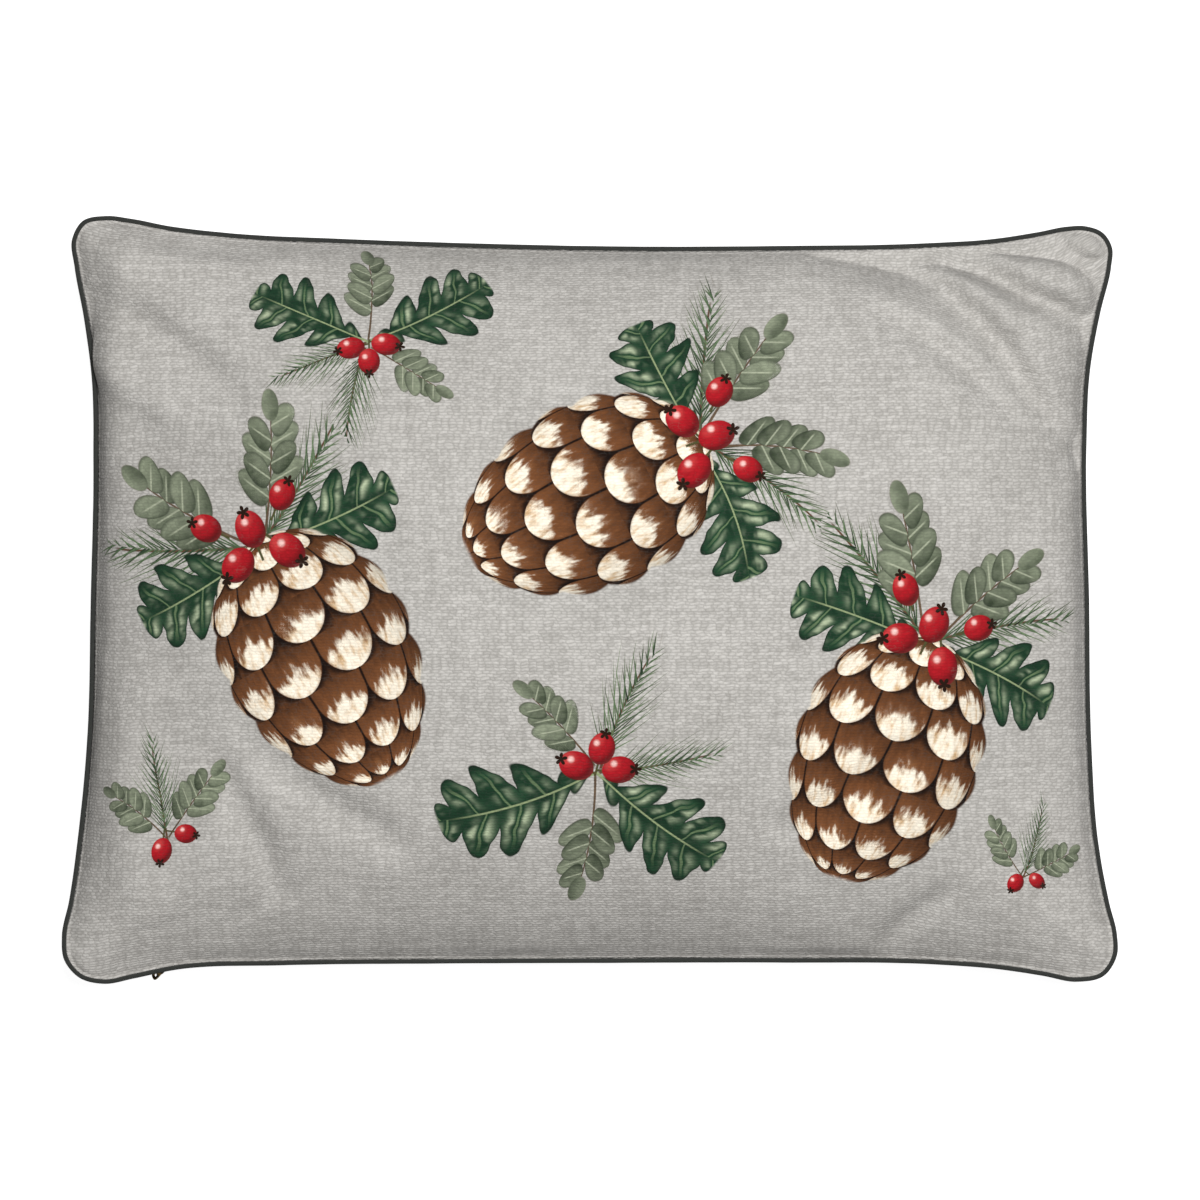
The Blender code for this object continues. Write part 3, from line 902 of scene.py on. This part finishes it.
def place_motif(mesh, corners, kind, half_width):
    """Stores u, v and the copy's own number for each corner. A face takes the copy for which
    hypot(2u - 1, v / half width) is least, so no border between two copies cuts a shape."""
    x, y = corners[..., 0], corners[..., 1]
    frames = []
    for base_x, base_y, turn, length, own in placements(kind):
        u = ((x - base_x) * cos(turn) + (y - base_y) * sin(turn)) / length
        v = ((y - base_y) * cos(turn) - (x - base_x) * sin(turn)) / length
        frames.append(np.stack([u, v, np.full_like(u, own)], axis=-1))
    frames = np.stack(frames)
    middle = frames.mean(axis=2)
    nearest = np.hypot(2 * middle[..., 0] - 1, middle[..., 1] / half_width).argmin(axis=0)
    set_corner_vectors(mesh, kind, frames[nearest, np.arange(len(nearest))])
    gap = np.hypot(2 * middle[..., 0] - 1, middle[..., 1] / half_width).min(axis=0)
    print(kind, len(frames), "times")
    return gap < 1.45


MOTIF_HALF_WIDTH = {"needles": 0.3, "spray": 0.28, "oak": 0.33, "cone": 0.37, "hip_1": 0.5, "hip_2": 0.5}
has_ink = np.zeros(len(panel_corners), bool)
for kind, half_width in MOTIF_HALF_WIDTH.items():
    has_ink |= place_motif(cover.data, panel_corners, kind, half_width)
has_ink &= panel_corners[:, 0, 2] > 0.5
print("ink on", round(has_ink.mean() * 100), "% of the faces")

# %% [markdown]
# ## Drawing a leaf
#
# An oak leaf's outline is a power curve, narrow at the base and fullest past the middle. Its
# lobes are cut by the sine of u: the sine comes down to nought in sharp cuts and is round
# in between, which is how the lobes are. The cuts and the side veins both lean forwards,
# with the veins running out to the middle of each lobe.

# %% Oak leaf group
def oak_group():
    """Half-width is W (u/a)^p ((1-u)/(1-a))^q (1 - cut (1 - |sin(pi n s)|)^1.3), where
    a = p/(p+q) and s = u - lean |v|. Veins lie where n s is half way between two cuts."""
    (place,), give = effect("oak leaf", {"Place": VECTOR}, {"Colour": COLOUR, "Mask": FLOAT})
    u, v, own = place.parts()
    base, tip, width, lobes, cut, lean = 1.05, 0.5, 0.33, 4.4, 0.62, 0.55
    peak = base / (base + tip)
    inner = u.most(0.001).least(0.999)
    v = v + (own - 0.5) * 0.5 * inner * (1 - inner)
    gap, side = abs(v), v.ramp(-0.001, 0.001)
    blur = noise(vector(u * 6, v * 6 + own * 30), 1.0, 1.0) - 0.5
    count = (u - lean * gap) * lobes + 0.25 + 0.22 * side + 0.3 * blur
    plain = (inner / peak)**base * ((1 - inner) / (1 - peak))**tip * width
    half = plain * (1 - cut * (1 - count.wave())**1.3)
    across = (gap / plain).least(2.0)
    blade = (half - gap).ramp(0, 0.012) * u.ramp(0, 0.02) * (1 - u).ramp(0, 0.02)
    stalk = (0.014 - gap).ramp(0, 0.006) * u.ramp(-0.16, -0.14) * (0.2 - u).ramp(0, 0.1)
    clouds = noise(vector(u * 5, v * 9 + own * 40), 1.0, 2.0)
    near_vein = (count + 0.5).wave()
    gloss = near_vein.bell(0.62, 0.42) * across.bell(0.42, 0.46) * clouds.ramp(0.34, 0.62)
    colour = (clouds * 0.9 + 0.2 * across.bell(0.5, 0.7) - 0.05).mix(paint("0d2015"), paint("234a31"))
    colour = (gloss * (0.45 + 0.5 * side)).mix(colour, paint("b3bf9f"))
    colour = (0.8 * (1 - (half - gap).ramp(0, 0.05))).mix(colour, paint("0c1c12"))
    side_vein = (0.13 + 0.1 * across - near_vein).ramp(0, 0.1) * (0.9 - across).ramp(0, 0.5)
    colour = (0.55 * side_vein).mix(colour, paint("7c9169"))
    vein = (0.009 - gap).ramp(0, 0.006) * (0.97 - u).ramp(0, 0.3)
    colour = vein.most(stalk * (1 - blade)).mix(colour, paint("8f9c74"))
    return give(colour, blade.most(stalk))


oak = oak_group()

# %% [markdown]
# ## Sprays and needles
#
# A spray of round leaves and a twig of pine needles are the same idea: strokes on both sides
# of a stem, in cells that lean forwards. A leaf fills its cell with an oval, and a needle is
# a thin line in it. Cells side by side can't overlap, so two or more layers of them, each
# with its own count and lean, are laid over each other.

# %% Spray and needle groups
def leaning_cells(u, v, own, count, lean, seed, shift=0.0):
    """Cell number is the whole part of count (u - lean |v|). Gives the share across the cell,
    the cell's start along the stem, and a random number for each cell and side."""
    side = v.ramp(-0.001, 0.001)
    phase = (u - lean * abs(v)) * count + 0.4 * side + shift
    number = phase.floor()
    start = (number - shift - 0.4 * side) / count
    return phase.part(), start, chance(vector(number, side, own + seed))


def spray_group():
    """A leaf is the oval |t - 1/2| < 1/2 sqrt(4 r (1 - r)), with t across its cell and r the
    distance from the stem as a share of the leaf's reach. Reach shrinks towards the tip."""
    (place,), give = effect("round-leaved spray", {"Place": VECTOR}, {"Colour": COLOUR, "Mask": FLOAT})
    u, v, own = place.parts()
    v = v + 0.5 * (own - 0.5) * u * (1 - u)
    gap = abs(v)
    powder = noise(vector(u * 14, v * 14 + own * 20), 1.0, 2.0)
    colour = powder.mix(paint("4a3d31"), paint("6e5a45"))
    mask = (0.012 - 0.006 * u - gap).ramp(0, 0.005) * u.ramp(-0.04, 0) * (0.9 - u).ramp(0, 0.03)
    tip_along, tip_across = (u - 0.89) / 0.115, v / 0.062
    for shift, seed in ((0.0, 1.0), (0.5, 2.0)):
        t, start, chosen = leaning_cells(u, v, own, 4.0, 0.62, seed, shift)
        reach = gap / ((0.20 + 0.05 * chosen) * (1.15 - 0.75 * start).most(0.05))
        r = reach.most(0.001).least(0.999)
        half = 0.47 * (4 * r * (1 - r))**0.5 * (1.08 - 0.3 * r)
        aside = t - 0.5
        leaf = (half - abs(aside)).ramp(0, 0.05) * start.ramp(0.14, 0.15) * (0.64 - start).ramp(0, 0.01)
        leaf = leaf * (1 - reach).ramp(0, 0.03)
        tone = 0.5 * powder + 0.4 * chosen + 0.4 * aside.ramp(-0.4, 0.4) - 0.2
        blade = tone.mix(paint("36402f"), paint("979f87"))
        blade = (0.7 * (1 - (half - abs(aside)).ramp(0.0, 0.16))).mix(blade, paint("2b3427"))
        blade = (0.6 * (0.04 - abs(aside)).ramp(0, 0.03) * (0.9 - r).ramp(0, 0.3)).mix(blade, paint("b9bfa6"))
        colour = leaf.mix(colour, blade)
        mask = mask.most(leaf)
    end = (1 - (tip_along * tip_along + tip_across * tip_across)**0.5).ramp(0, 0.12)
    colour = end.mix(colour, (0.5 * powder + 0.4 * v.ramp(-0.05, 0.05)).mix(paint("36402f"), paint("979f87")))
    return give(colour, mask.most(end))


def needle_group():
    """A needle is |t - 1/2 - its own skew r| < w sqrt(1 - r), with r the share of its length."""
    (place,), give = effect("pine needles", {"Place": VECTOR}, {"Colour": COLOUR, "Mask": FLOAT})
    u, v, own = place.parts()
    v = v + 0.4 * (own - 0.5) * u * (1 - u)
    gap = abs(v)
    colour = paint("5b4231")
    mask = (0.014 - 0.006 * u - gap).ramp(0, 0.006) * u.ramp(-0.02, 0) * (0.93 - u).ramp(0, 0.05)
    for count, lean, seed in ((11, 2.4, 1.0), (13, 1.3, 2.0), (12, 1.8, 3.0)):
        t, start, chosen = leaning_cells(u, v + 0.02 * u, own, count, lean, seed)
        r = gap / ((0.15 + 0.14 * chosen) * (1.15 - start))
        skew = (chosen * 7).part() - 0.5
        stroke = 0.17 * (1 - r).most(0.0)**0.5 - abs(t - 0.5 - 0.5 * skew * r)
        stroke = stroke.ramp(0, 0.08) * start.ramp(0.0, 0.04) * (0.97 - start).ramp(0, 0.02)
        tone = (0.7 * (chosen * 13).part() + 0.35 * r).mix(paint("12281a"), paint("6d8660"))
        colour = stroke.mix(colour, tone)
        mask = mask.most(stroke)
    return give(colour, mask)


spray, needles = spray_group(), needle_group()

# %% [markdown]
# ## Rose hips and cones
#
# A hip is an oval shaded as a ball, with the light from the upper left and a dry dark crown
# at one end. A cone is an oval covered with overlapping scales, like tiles: across and along
# are first turned into angles with an arcsine, so the scales close up towards the rim as
# they do on a round cone.

# %% Hip and cone groups
def hip_group():
    """On an oval of half-length 1 the ball's height is z = sqrt(1 - r^2), and its light is the
    dot product of (x, y, z) with the light's direction. The crown is a star whose radius
    follows |cos(5/2 angle)|."""
    (place,), give = effect("rose hip", {"Place": VECTOR}, {"Colour": COLOUR, "Mask": FLOAT})
    u, v, own = place.parts()
    x, y = 2.5 * u - 1.25, 2.5 * v
    turn = own * (2 * pi)
    ahead_x, ahead_y = turn.math("COSINE"), turn.sine()
    along, across = x * ahead_x + y * ahead_y, y * ahead_x - x * ahead_y
    out = (along * along + (across / 0.8)**2)**0.5
    z = (1 - (out * out).least(1.0))**0.5
    light = 0.5 * y - 0.45 * x + 0.74 * z
    blush = noise(vector(along * 2, across * 5 + own * 50), 1.0, 1.0)
    colour = (light.ramp(-0.2, 0.75) * (0.8 + 0.4 * blush)).mix(paint("38070a"), paint("a61620"))
    colour = (0.5 * light.ramp(0.72, 1.0)).mix(colour, paint("dc5350"))
    colour = (0.3 * out.ramp(0.6, 0.95) * (x - y).ramp(0.2, 1.3)).mix(colour, paint("b8403f"))
    glint = 1 - ((x + 0.3)**2 + (y - 0.34)**2)**0.5 / 0.26
    colour = (0.8 * glint.ramp(0, 0.8)).mix(colour, paint("ffdcd4"))
    ahead = along - 0.9
    star = (across.math("ARCTAN2", ahead) * 2.5).math("COSINE")
    crown = (0.14 + 0.24 * abs(star) - (ahead * ahead + across * across)**0.5).ramp(0, 0.05)
    stalk = (0.085 - abs(across)).ramp(0, 0.04) * (-0.9 - along).ramp(0, 0.03) * (along + 1.7).ramp(0, 0.05)
    ball = (1 - out).ramp(0, 0.07)
    colour = ball.mix(paint("4c4a2c"), colour)
    return give(crown.mix(colour, paint("241309")), ball.most(crown).most(stalk))


CONE_ROWS, CONE_ACROSS = 9.0, 5.0


def cone_group():
    """With x and y from -1 to 1 over the oval, the scale rows count with asin y and the
    places in a row with asin(x / half-width). A scale is 0.5 sqrt(1 - t^2) wide towards its
    free end, and where it leaves a gap the scale of the next row shows, deep in its shade."""
    (place,), give = effect("snowy cone", {"Place": VECTOR}, {"Colour": COLOUR, "Mask": FLOAT})
    u, v, own = place.parts()
    x, y = 2 * v, (1 - 2 * u).most(-0.999).least(0.999)
    body = 0.72 * (1 - y * y)**0.5 * (1 + 0.13 * y)
    rows = (1 - y.math("ARCSINE") / (pi / 2)) * (CONE_ROWS / 2)
    around = (x / body).most(-1.0).least(1.0).math("ARCSINE") / (pi / 2)
    number = rows.floor()
    down = rows - number
    columns = around * (CONE_ACROSS / 2) + 0.5 * number
    free = ((down - 0.35).most(0.0) / 0.66).least(0.999)
    width = 0.5 * (1 - free * free)**0.5
    aside = columns.part() - 0.5
    past_rim = abs(aside) - width
    upper = 1 - past_rim.ramp(-0.035, 0)
    aside_below = (columns + 0.5).part() - 0.5
    along = down - 1 + upper
    middle = abs(aside_below + upper * (aside - aside_below))
    own_scale = chance(vector(columns.floor(), number, own))
    grain = noise(vector(columns * 9, rows * 3 + own * 90), 1.0, 3.0)
    wood = along.ramp(-0.6, 0.8) * 0.85 + 0.5 * grain + 0.2 * own_scale - 0.3
    colour = wood.mix(paint("170b06"), paint("80502f"))
    ridge = (1 - middle / 0.16).ramp(0, 1) * along.ramp(0.1, 0.7)
    colour = (0.45 * ridge).mix(colour, paint("b07c50"))
    snow = (along + 0.6 * (grain - 0.5) + 0.26 * own_scale + 0.12 * y - 0.5 * middle).ramp(0.42, 0.66)
    cream = (grain + 0.5 * (0.4 - middle)).ramp(0.25, 0.75).mix(paint("cda97c"), paint("f6ecd9"))
    colour = (snow * upper).mix(colour, cream)
    rim = 1 - (past_rim * (-1 / 0.09)).ramp(0, 1)
    colour = (0.5 * rim * upper).mix(colour, paint("55341d"))
    shadow = (1 - upper) * (1 - (past_rim / 0.2).ramp(0, 1))
    colour = (0.85 * shadow).mix(colour, paint("0e0604"))
    colour = colour.shade(1.05 - 0.7 * abs(around)**3.0 - 0.12 * around)
    edge = body * (0.95 + 0.065 * (rows + 0.1).wave()) - abs(x)
    return give(colour, edge.ramp(0, 0.02) * u.ramp(0, 0.02) * (1 - u).ramp(0, 0.02))


hip, cone = hip_group(), cone_group()
MOTIF_GROUPS = {"needles": needles, "spray": spray, "oak": oak, "cone": cone, "hip": hip}

# %% [markdown]
# ## Cover cloth
#
# The ground is an undyed greige, dull and dry. Its colour is painted a little darker between
# the yarns, as painted shade. Sheen, a soft glow of loose fibres at grazing angles, is one value
# for the whole cloth, so it is set on the shader itself. Faces that no motif reaches get a
# material without the inks: it looks the same there and takes a third of the time.

# %% Cover material
GROUND_DARK, GROUND_LIGHT = paint("908d88"), paint("d4d1cc")
DASH, ROW = 3.8 * MM, 1.62 * MM


def cover_material(name, kinds):
    """The cover cloth, with the inks of the given kinds of motif over it."""
    cloth, tree, shader = material(name, Roughness=0.92, Sheen_Weight=0.06, Sheen_Roughness=0.5,
                                   Specular_IOR_Level=0.15)
    place = attribute(tree, "panel")
    yarn_height, yarn_tone_and_shade = use(weave, tree, place, DASH, ROW)
    mottle = noise(place, 22.0, 3.0)
    # painted shade: the ground is darker between the dashes of the weave, over the yarns' own tone and the mottling
    colour = (yarn_tone_and_shade.ramp(0.18, 0.92) * 0.8 + 0.2 * mottle).mix(GROUND_DARK, GROUND_LIGHT)
    ink_taken = place.parts()[2] * (0.93 + 0.07 * yarn_tone_and_shade.ramp(0.2, 0.5))
    # painted shade: the inks are darkened by the weave's painted shade between the dashes, as well as by the yarns' own
    # tone
    ink_weave_shade_and_tone = 0.64 + 0.66 * yarn_tone_and_shade
    for kind in kinds:
        ink, inked = use(MOTIF_GROUPS[kind.split("_")[0]], tree, attribute(tree, kind))
        colour = (inked * ink_taken).mix(colour, ink.shade(ink_weave_shade_and_tone))
    feed(shader["Base Color"], colour)
    feed(shader["Normal"], bump(tree, yarn_height, 0.35 * MM, 0.6))
    return cloth


cover.data.materials.append(cover_material("slub_cloth", []))
cover.data.materials.append(cover_material("printed_slub_cloth", MOTIF_HALF_WIDTH))
cover.data.polygons.foreach_set("material_index", has_ink.astype(np.int32))

# %% [markdown]
# ## Piping cloth
#
# The cord is covered in charcoal cloth cut on the bias: both sets of yarns run at 45 degrees
# to the cord. Its own attribute gives the place along and around it.

# %% Piping material
BIAS_PITCH = 0.62 * MM
piping_cloth, tree, shader = material("charcoal_bias_cloth", Roughness=0.85, Sheen_Weight=0.1,
                                      Specular_IOR_Level=0.25)
place = attribute(tree, "cord")
along, around, _ = place.parts()
one_way, other_way = (along + around) / BIAS_PITCH, (along - around) / BIAS_PITCH
over = (one_way.floor() + other_way.floor()) * 0.5
yarns = over.part().ramp(0.2, 0.3).math("MULTIPLY", one_way.wave() - other_way.wave()) + other_way.wave()
# painted shade: the charcoal is darker between the bias yarns, following their relief, with noise for the yarns' own
# tone
bias_shade_and_tone = 0.7 * yarns + 0.3 * noise(place, 500.0, 2.0)
feed(shader["Base Color"], bias_shade_and_tone.mix(paint("191a18"), paint("3a3c39")))
feed(shader["Normal"], bump(tree, yarns, 0.12 * MM, 0.6))
piping.data.materials.append(piping_cloth)


# %% [markdown]
# ## The zip
#
# The zip is a nylon coil one: one continuous spiral on each edge of a woven tape, squeezed
# together so that the loops of the two sides alternate. A spiral curve would show the same
# thing with ten times the faces. Seen from outside only the loops' humps matter, so each is
# a short bent rod, and one array sum places them all. The tape is a strip with rounded
# edges, and the stitches that hold the folded cloth over it are rods as well.

# %% Rods, tape, coil and stitches
TAPE_LOW, TAPE_HIGH = -4.5 * MM, 2.5 * MM
TAPE_THICK = 0.4 * MM
TAPE_SPARE = 8 * MM
COIL_PITCH = 1.3 * MM
COIL_RADIUS = 0.43 * MM
STITCH_PITCH, STITCH_LENGTH = 3.4 * MM, 2.5 * MM


def rods(centres, radius, sides, towards):
    """Many short rods at once, from centres[rod, step]. A ring at each step lies square to
    the rod's run, its first point towards the given direction. Both ends are closed flat."""
    ahead = np.gradient(centres, axis=1)
    ahead /= np.linalg.norm(ahead, axis=2)[..., None]
    out = towards - (ahead @ towards)[..., None] * ahead
    out /= np.linalg.norm(out, axis=2)[..., None]
    angle = 2 * pi * np.arange(sides) / sides
    ring = (np.cos(angle)[:, None] * out[:, :, None] + np.sin(angle)[:, None] * np.cross(ahead, out)[:, :, None])
    points = centres[:, :, None] + radius[None, :, None, None] * ring
    index = np.arange(points[..., 0].size).reshape(points.shape[:3])
    around = np.concatenate([index, index[:, :, :1]], axis=2)
    walls = np.stack([around[:, :-1, :-1], around[:, :-1, 1:], around[:, 1:, 1:], around[:, 1:, :-1]], axis=-1)
    return points.reshape(-1, 3), [walls.reshape(-1, 4), index[:, 0, ::-1], index[:, -1]]


def add_piece(name, points, face_groups, body, slot, *replaced):
    """Makes a piece from faces of several kinds, and says what carries and what it replaces."""
    mesh = bpy.data.meshes.new(name)
    mesh.from_pydata(points.tolist(), [], [face for faces in face_groups for face in faces.tolist()])
    mesh.shade_smooth()
    piece = bpy.data.objects.new(name, mesh)
    bpy.context.scene.collection.objects.link(piece)
    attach(piece, body)
    if replaced:
        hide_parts(*replaced)
    print(name, sum(len(faces) * (faces.shape[1] - 2) for faces in face_groups), "triangles")
    return piece


def make_tape():
    """The tape's cross section, flat with rounded edges, carried along the zip."""
    turn = np.linspace(-pi / 2, pi / 2, 5)
    edge = TAPE_THICK / 2
    high = np.stack([TAPE_HIGH - edge + edge * np.cos(turn), edge + edge * np.sin(turn)], axis=1)
    low = np.stack([TAPE_LOW + edge - edge * np.cos(turn), edge - edge * np.sin(turn)], axis=1)
    section = np.concatenate([high, low])
    along = np.linspace(-TAPE_SPARE, ZIP_LENGTH + TAPE_SPARE, 260)
    places = np.zeros((len(along), len(section), 3))
    places[..., 0] = along[:, None]
    places[..., 1:] = section
    past_end = np.maximum(-along, along - ZIP_LENGTH)
    places[..., 2] -= (1.6 * MM * smooth_step(-1 * MM, 4 * MM, past_end))[:, None]
    index = np.arange(len(along) * len(section)).reshape(len(along), -1)
    around = np.concatenate([index, index[:, :1]], axis=1)
    tape = add_piece("zip_tape_cloth", from_zip(places).reshape(-1, 3),
                     [grid_faces(around, turned=True), index[:1, ::-1], index[-1:]],
                     "cushion", "zip_tape", "zip_tape")
    flat = places.reshape(-1, 3)
    corners = np.empty(len(tape.data.loops), int)
    tape.data.loops.foreach_get("vertex_index", corners)
    set_corner_vectors(tape.data, "tape", flat[corners])
    return tape


def make_coil():
    """Humps of the two spirals. Across the zip a hump runs level over its middle and turns
    down at both ends, and every other one lies a little to the other side."""
    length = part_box("zip_teeth")[1].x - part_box("zip_teeth")[0].x
    count = int(length / COIL_PITCH)
    t = np.linspace(-1, 1, 9)
    places = np.zeros((count, len(t), 3))
    places[..., 0] = ((np.arange(count) + 0.5) * length / count)[:, None] + 0.10 * MM * t
    places[..., 1] = 1.28 * MM * t + 0.12 * MM * (-1.0)**np.arange(count)[:, None]
    places[..., 2] = 0.62 * MM + 0.95 * MM * (1 - t**4)**0.5
    points, faces = rods(from_zip(places), np.full(len(t), COIL_RADIUS), 7, zip_along)
    return add_piece("zip_coil", points, faces, "cushion", "zip_teeth", "zip_teeth")


def make_stitches():
    """A row of topstitching along the cloth's folded edge, with a bar across at both ends."""
    t = np.linspace(-1, 1, 7)
    count = int((ZIP_LENGTH + TAPE_SPARE) / STITCH_PITCH)
    starts = -TAPE_SPARE / 2 + STITCH_PITCH * np.arange(count)
    row = np.zeros((count, len(t), 3))
    row[..., 0] = starts[:, None] + STITCH_LENGTH / 2 * t
    row[..., 1] = -4.1 * MM
    row[..., 2] = 0.62 * MM + 0.10 * MM * (1 - t * t)
    bars = np.zeros((10, len(t), 3))
    side = np.repeat([-3.6 * MM, ZIP_LENGTH + 2.4 * MM], 5)
    bars[..., 0] = (side + np.tile(np.arange(5) * 0.42 * MM, 2))[:, None]
    bars[..., 1] = -1.0 * MM + 2.6 * MM * t
    bars[..., 2] = 0.66 * MM + 0.12 * MM * (1 - t * t)
    radius = 0.24 * MM * (1.02 - t * t)**0.35
    points, faces = rods(from_zip(np.concatenate([row, bars])), radius, 6, zip_out)
    return add_piece("zip_topstitching", points, faces, "cushion", "cover_fabric")


tape, coil, stitches = make_tape(), make_coil(), make_stitches()

# %% [markdown]
# ## Finishes of the zip
#
# The tape is a black herringbone twill. The coil and its end stop are black nylon, glossy on
# top. The slider is painted black over brass, and brass shows where fingers and the pull
# rub. The pull itself is antique brass: darkened with patina in patches, brighter where it is handled.
# Wear is one group, shared by both metals.

# %% Zip materials
def wear_group():
    """Rubbed places: coarse noise picks the regions, fine noise breaks up their edges."""
    (place, amount), give = effect("handling wear", {"Place": VECTOR, "Amount": FLOAT}, {"Worn": FLOAT, "Grime": FLOAT})
    regions = noise(place, 420.0, 3.0, "3D") + 0.35 * (noise(place, 2600.0, 2.0, "3D") - 0.5)
    worn = regions.ramp(0.72 - 0.4 * amount, 0.82 - 0.4 * amount)
    return give(worn, noise(place, 900.0, 4.0, "3D").ramp(0.35, 0.7))


def object_place(tree):
    """A wire with the place in the object's own frame."""
    return Wire(tree.nodes.new("ShaderNodeTexCoord").outputs["Object"])


wear = wear_group()
tape_cloth, tree, shader = material("black_herringbone", Roughness=0.85, Sheen_Weight=0.05, Specular_IOR_Level=0.25)
along, up, _ = attribute(tree, "tape").parts()
zigzag = abs((up / (2.4 * MM)).part() - 0.5) * 2
twill = (along / (0.7 * MM) + zigzag * 1.7).wave()
ribs = twill * (0.6 + 0.4 * (up / (0.25 * MM)).wave())
# painted shade and light: the black tape's colour is darker in the grooves between its twill ribs and lighter on their
# crests
feed(shader["Base Color"], ribs.mix(paint("0c0c0c"), paint("2b2b2a")))
feed(shader["Normal"], bump(tree, ribs, 0.08 * MM, 0.7))
tape.data.materials.append(tape_cloth)

nylon, tree, shader = material("black_nylon", Roughness=0.38, Specular_IOR_Level=0.5)
scuffs = noise(object_place(tree), 1800.0, 3.0, "3D")
feed(shader["Base Color"], scuffs.mix(paint("0b0b0c"), paint("202021")))
feed(shader["Roughness"], scuffs.ramp(0.3, 0.7) * 0.25 + 0.28)
coil.data.materials.append(nylon)

painted, tree, shader = material("painted_brass", Roughness=0.4)
worn, grime = use(wear, tree, object_place(tree), 0.28)
feed(shader["Base Color"], worn.mix(paint("14120f"), paint("a98a52")))
feed(shader["Metallic"], worn * 0.9 + 0.1)
feed(shader["Roughness"], 0.3 + 0.25 * grime)

brass, tree, shader = material("antique_brass", Metallic=1.0)
worn, grime = use(wear, tree, object_place(tree), 0.62)
feed(shader["Base Color"], (worn * (1 - 0.5 * grime)).mix(paint("3c2f1d"), paint("b99b62")))
feed(shader["Roughness"], 0.28 + 0.3 * grime)
feed(shader["Normal"], bump(tree, grime, 0.03 * MM, 0.5))

thread, tree, shader = material("greige_thread", Roughness=0.7, Sheen_Weight=0.1)
strands = noise(object_place(tree), 2400.0, 2.0, "3D")
feed(shader["Base Color"], strands.mix(paint("9b968d"), paint("d8d4cb")))
stitches.data.materials.append(thread)


def finish_node(name, finish):
    """Gives a kept solid a new finish in every material slot."""
    mesh = frame["nodes"][name].data
    for slot in range(len(mesh.materials)):
        mesh.materials[slot] = finish


finish_node("zip_slider", painted)
finish_node("zip_pull", brass)
finish_node("zip_end_stop", nylon)


# %% [markdown]
# ## Camera, light and floor
#
# The cushion lies on its back and is seen from straight above, from far off, so its outline
# hardly shrinks with depth. One large soft lamp stands near the camera and a little towards
# the upper edge, which is what makes the steep cloth beside the piping the darkest. The
# floor is near white. It shows itself to the camera mostly by its own glow, and reflects
# little into the cushion, because white paper close by would fill those shadows.

# %% Camera
VIEW_WIDTH = 0.6256
CAMERA_DISTANCE = 3.0
camera = bpy.data.objects.new("camera", bpy.data.cameras.new("camera"))
bpy.context.scene.collection.objects.link(camera)
bpy.context.scene.camera = camera
camera.location = (0.0053, 0, SEAM_HEIGHT + CAMERA_DISTANCE)
camera.data.sensor_width = 36
camera.data.lens = 36 * CAMERA_DISTANCE / VIEW_WIDTH
print("lens", round(camera.data.lens, 1), "mm")

# %% Lamps, world and floor
KEY_TILT = radians(9)
KEY_DISTANCE = 2.6
FLOOR_Z = -0.2 * MM        # just clear of the cloth that rests on it
key_lamp = bpy.data.lights.new("key", "AREA")
key_lamp.shape = "DISK"
key_lamp.size = 0.9
key_lamp.energy = 77
key = bpy.data.objects.new("key", key_lamp)
bpy.context.scene.collection.objects.link(key)
key.location = (0.32, KEY_DISTANCE * sin(KEY_TILT), KEY_DISTANCE * cos(KEY_TILT))
key.rotation_euler = key.location.to_track_quat("Z", "Y").to_euler()
world = bpy.data.worlds.new("studio")
world.use_nodes = True
world.node_tree.nodes["Background"].inputs["Color"].default_value = (1.0, 1.0, 1.0, 1)
world.node_tree.nodes["Background"].inputs["Strength"].default_value = 0.05
bpy.context.scene.world = world
bpy.context.scene.view_settings.view_transform = "Standard"

floor_mesh = bpy.data.meshes.new("studio_floor")
floor_mesh.from_pydata([(-6, -6, FLOOR_Z), (6, -6, FLOOR_Z), (6, 6, FLOOR_Z), (-6, 6, FLOOR_Z)], [], [(0, 1, 2, 3)])
floor = bpy.data.objects.new("studio_floor", floor_mesh)
bpy.context.scene.collection.objects.link(floor)
floor_material = bpy.data.materials.new("white_floor")
floor_material.use_nodes = True
floor_nodes, floor_links = floor_material.node_tree.nodes, floor_material.node_tree.links
paper = floor_nodes["Principled BSDF"]
paper.inputs["Base Color"].default_value = (0.35, 0.35, 0.35, 1)
paper.inputs["Roughness"].default_value = 0.9
paper.inputs["Specular IOR Level"].default_value = 0.1
seen = floor_nodes.new("ShaderNodeLightPath")
glow = floor_nodes.new("ShaderNodeEmission")
glow.inputs["Strength"].default_value = 0.96
both = floor_nodes.new("ShaderNodeAddShader")
shown = floor_nodes.new("ShaderNodeMixShader")
floor_links.new(paper.outputs[0], both.inputs[0])
floor_links.new(glow.outputs[0], both.inputs[1])
floor_links.new(seen.outputs["Is Camera Ray"], shown.inputs[0])
floor_links.new(paper.outputs[0], shown.inputs[1])
floor_links.new(both.outputs[0], shown.inputs[2])
floor_links.new(shown.outputs[0], floor_nodes["Material Output"].inputs["Surface"])
floor_mesh.materials.append(floor_material)
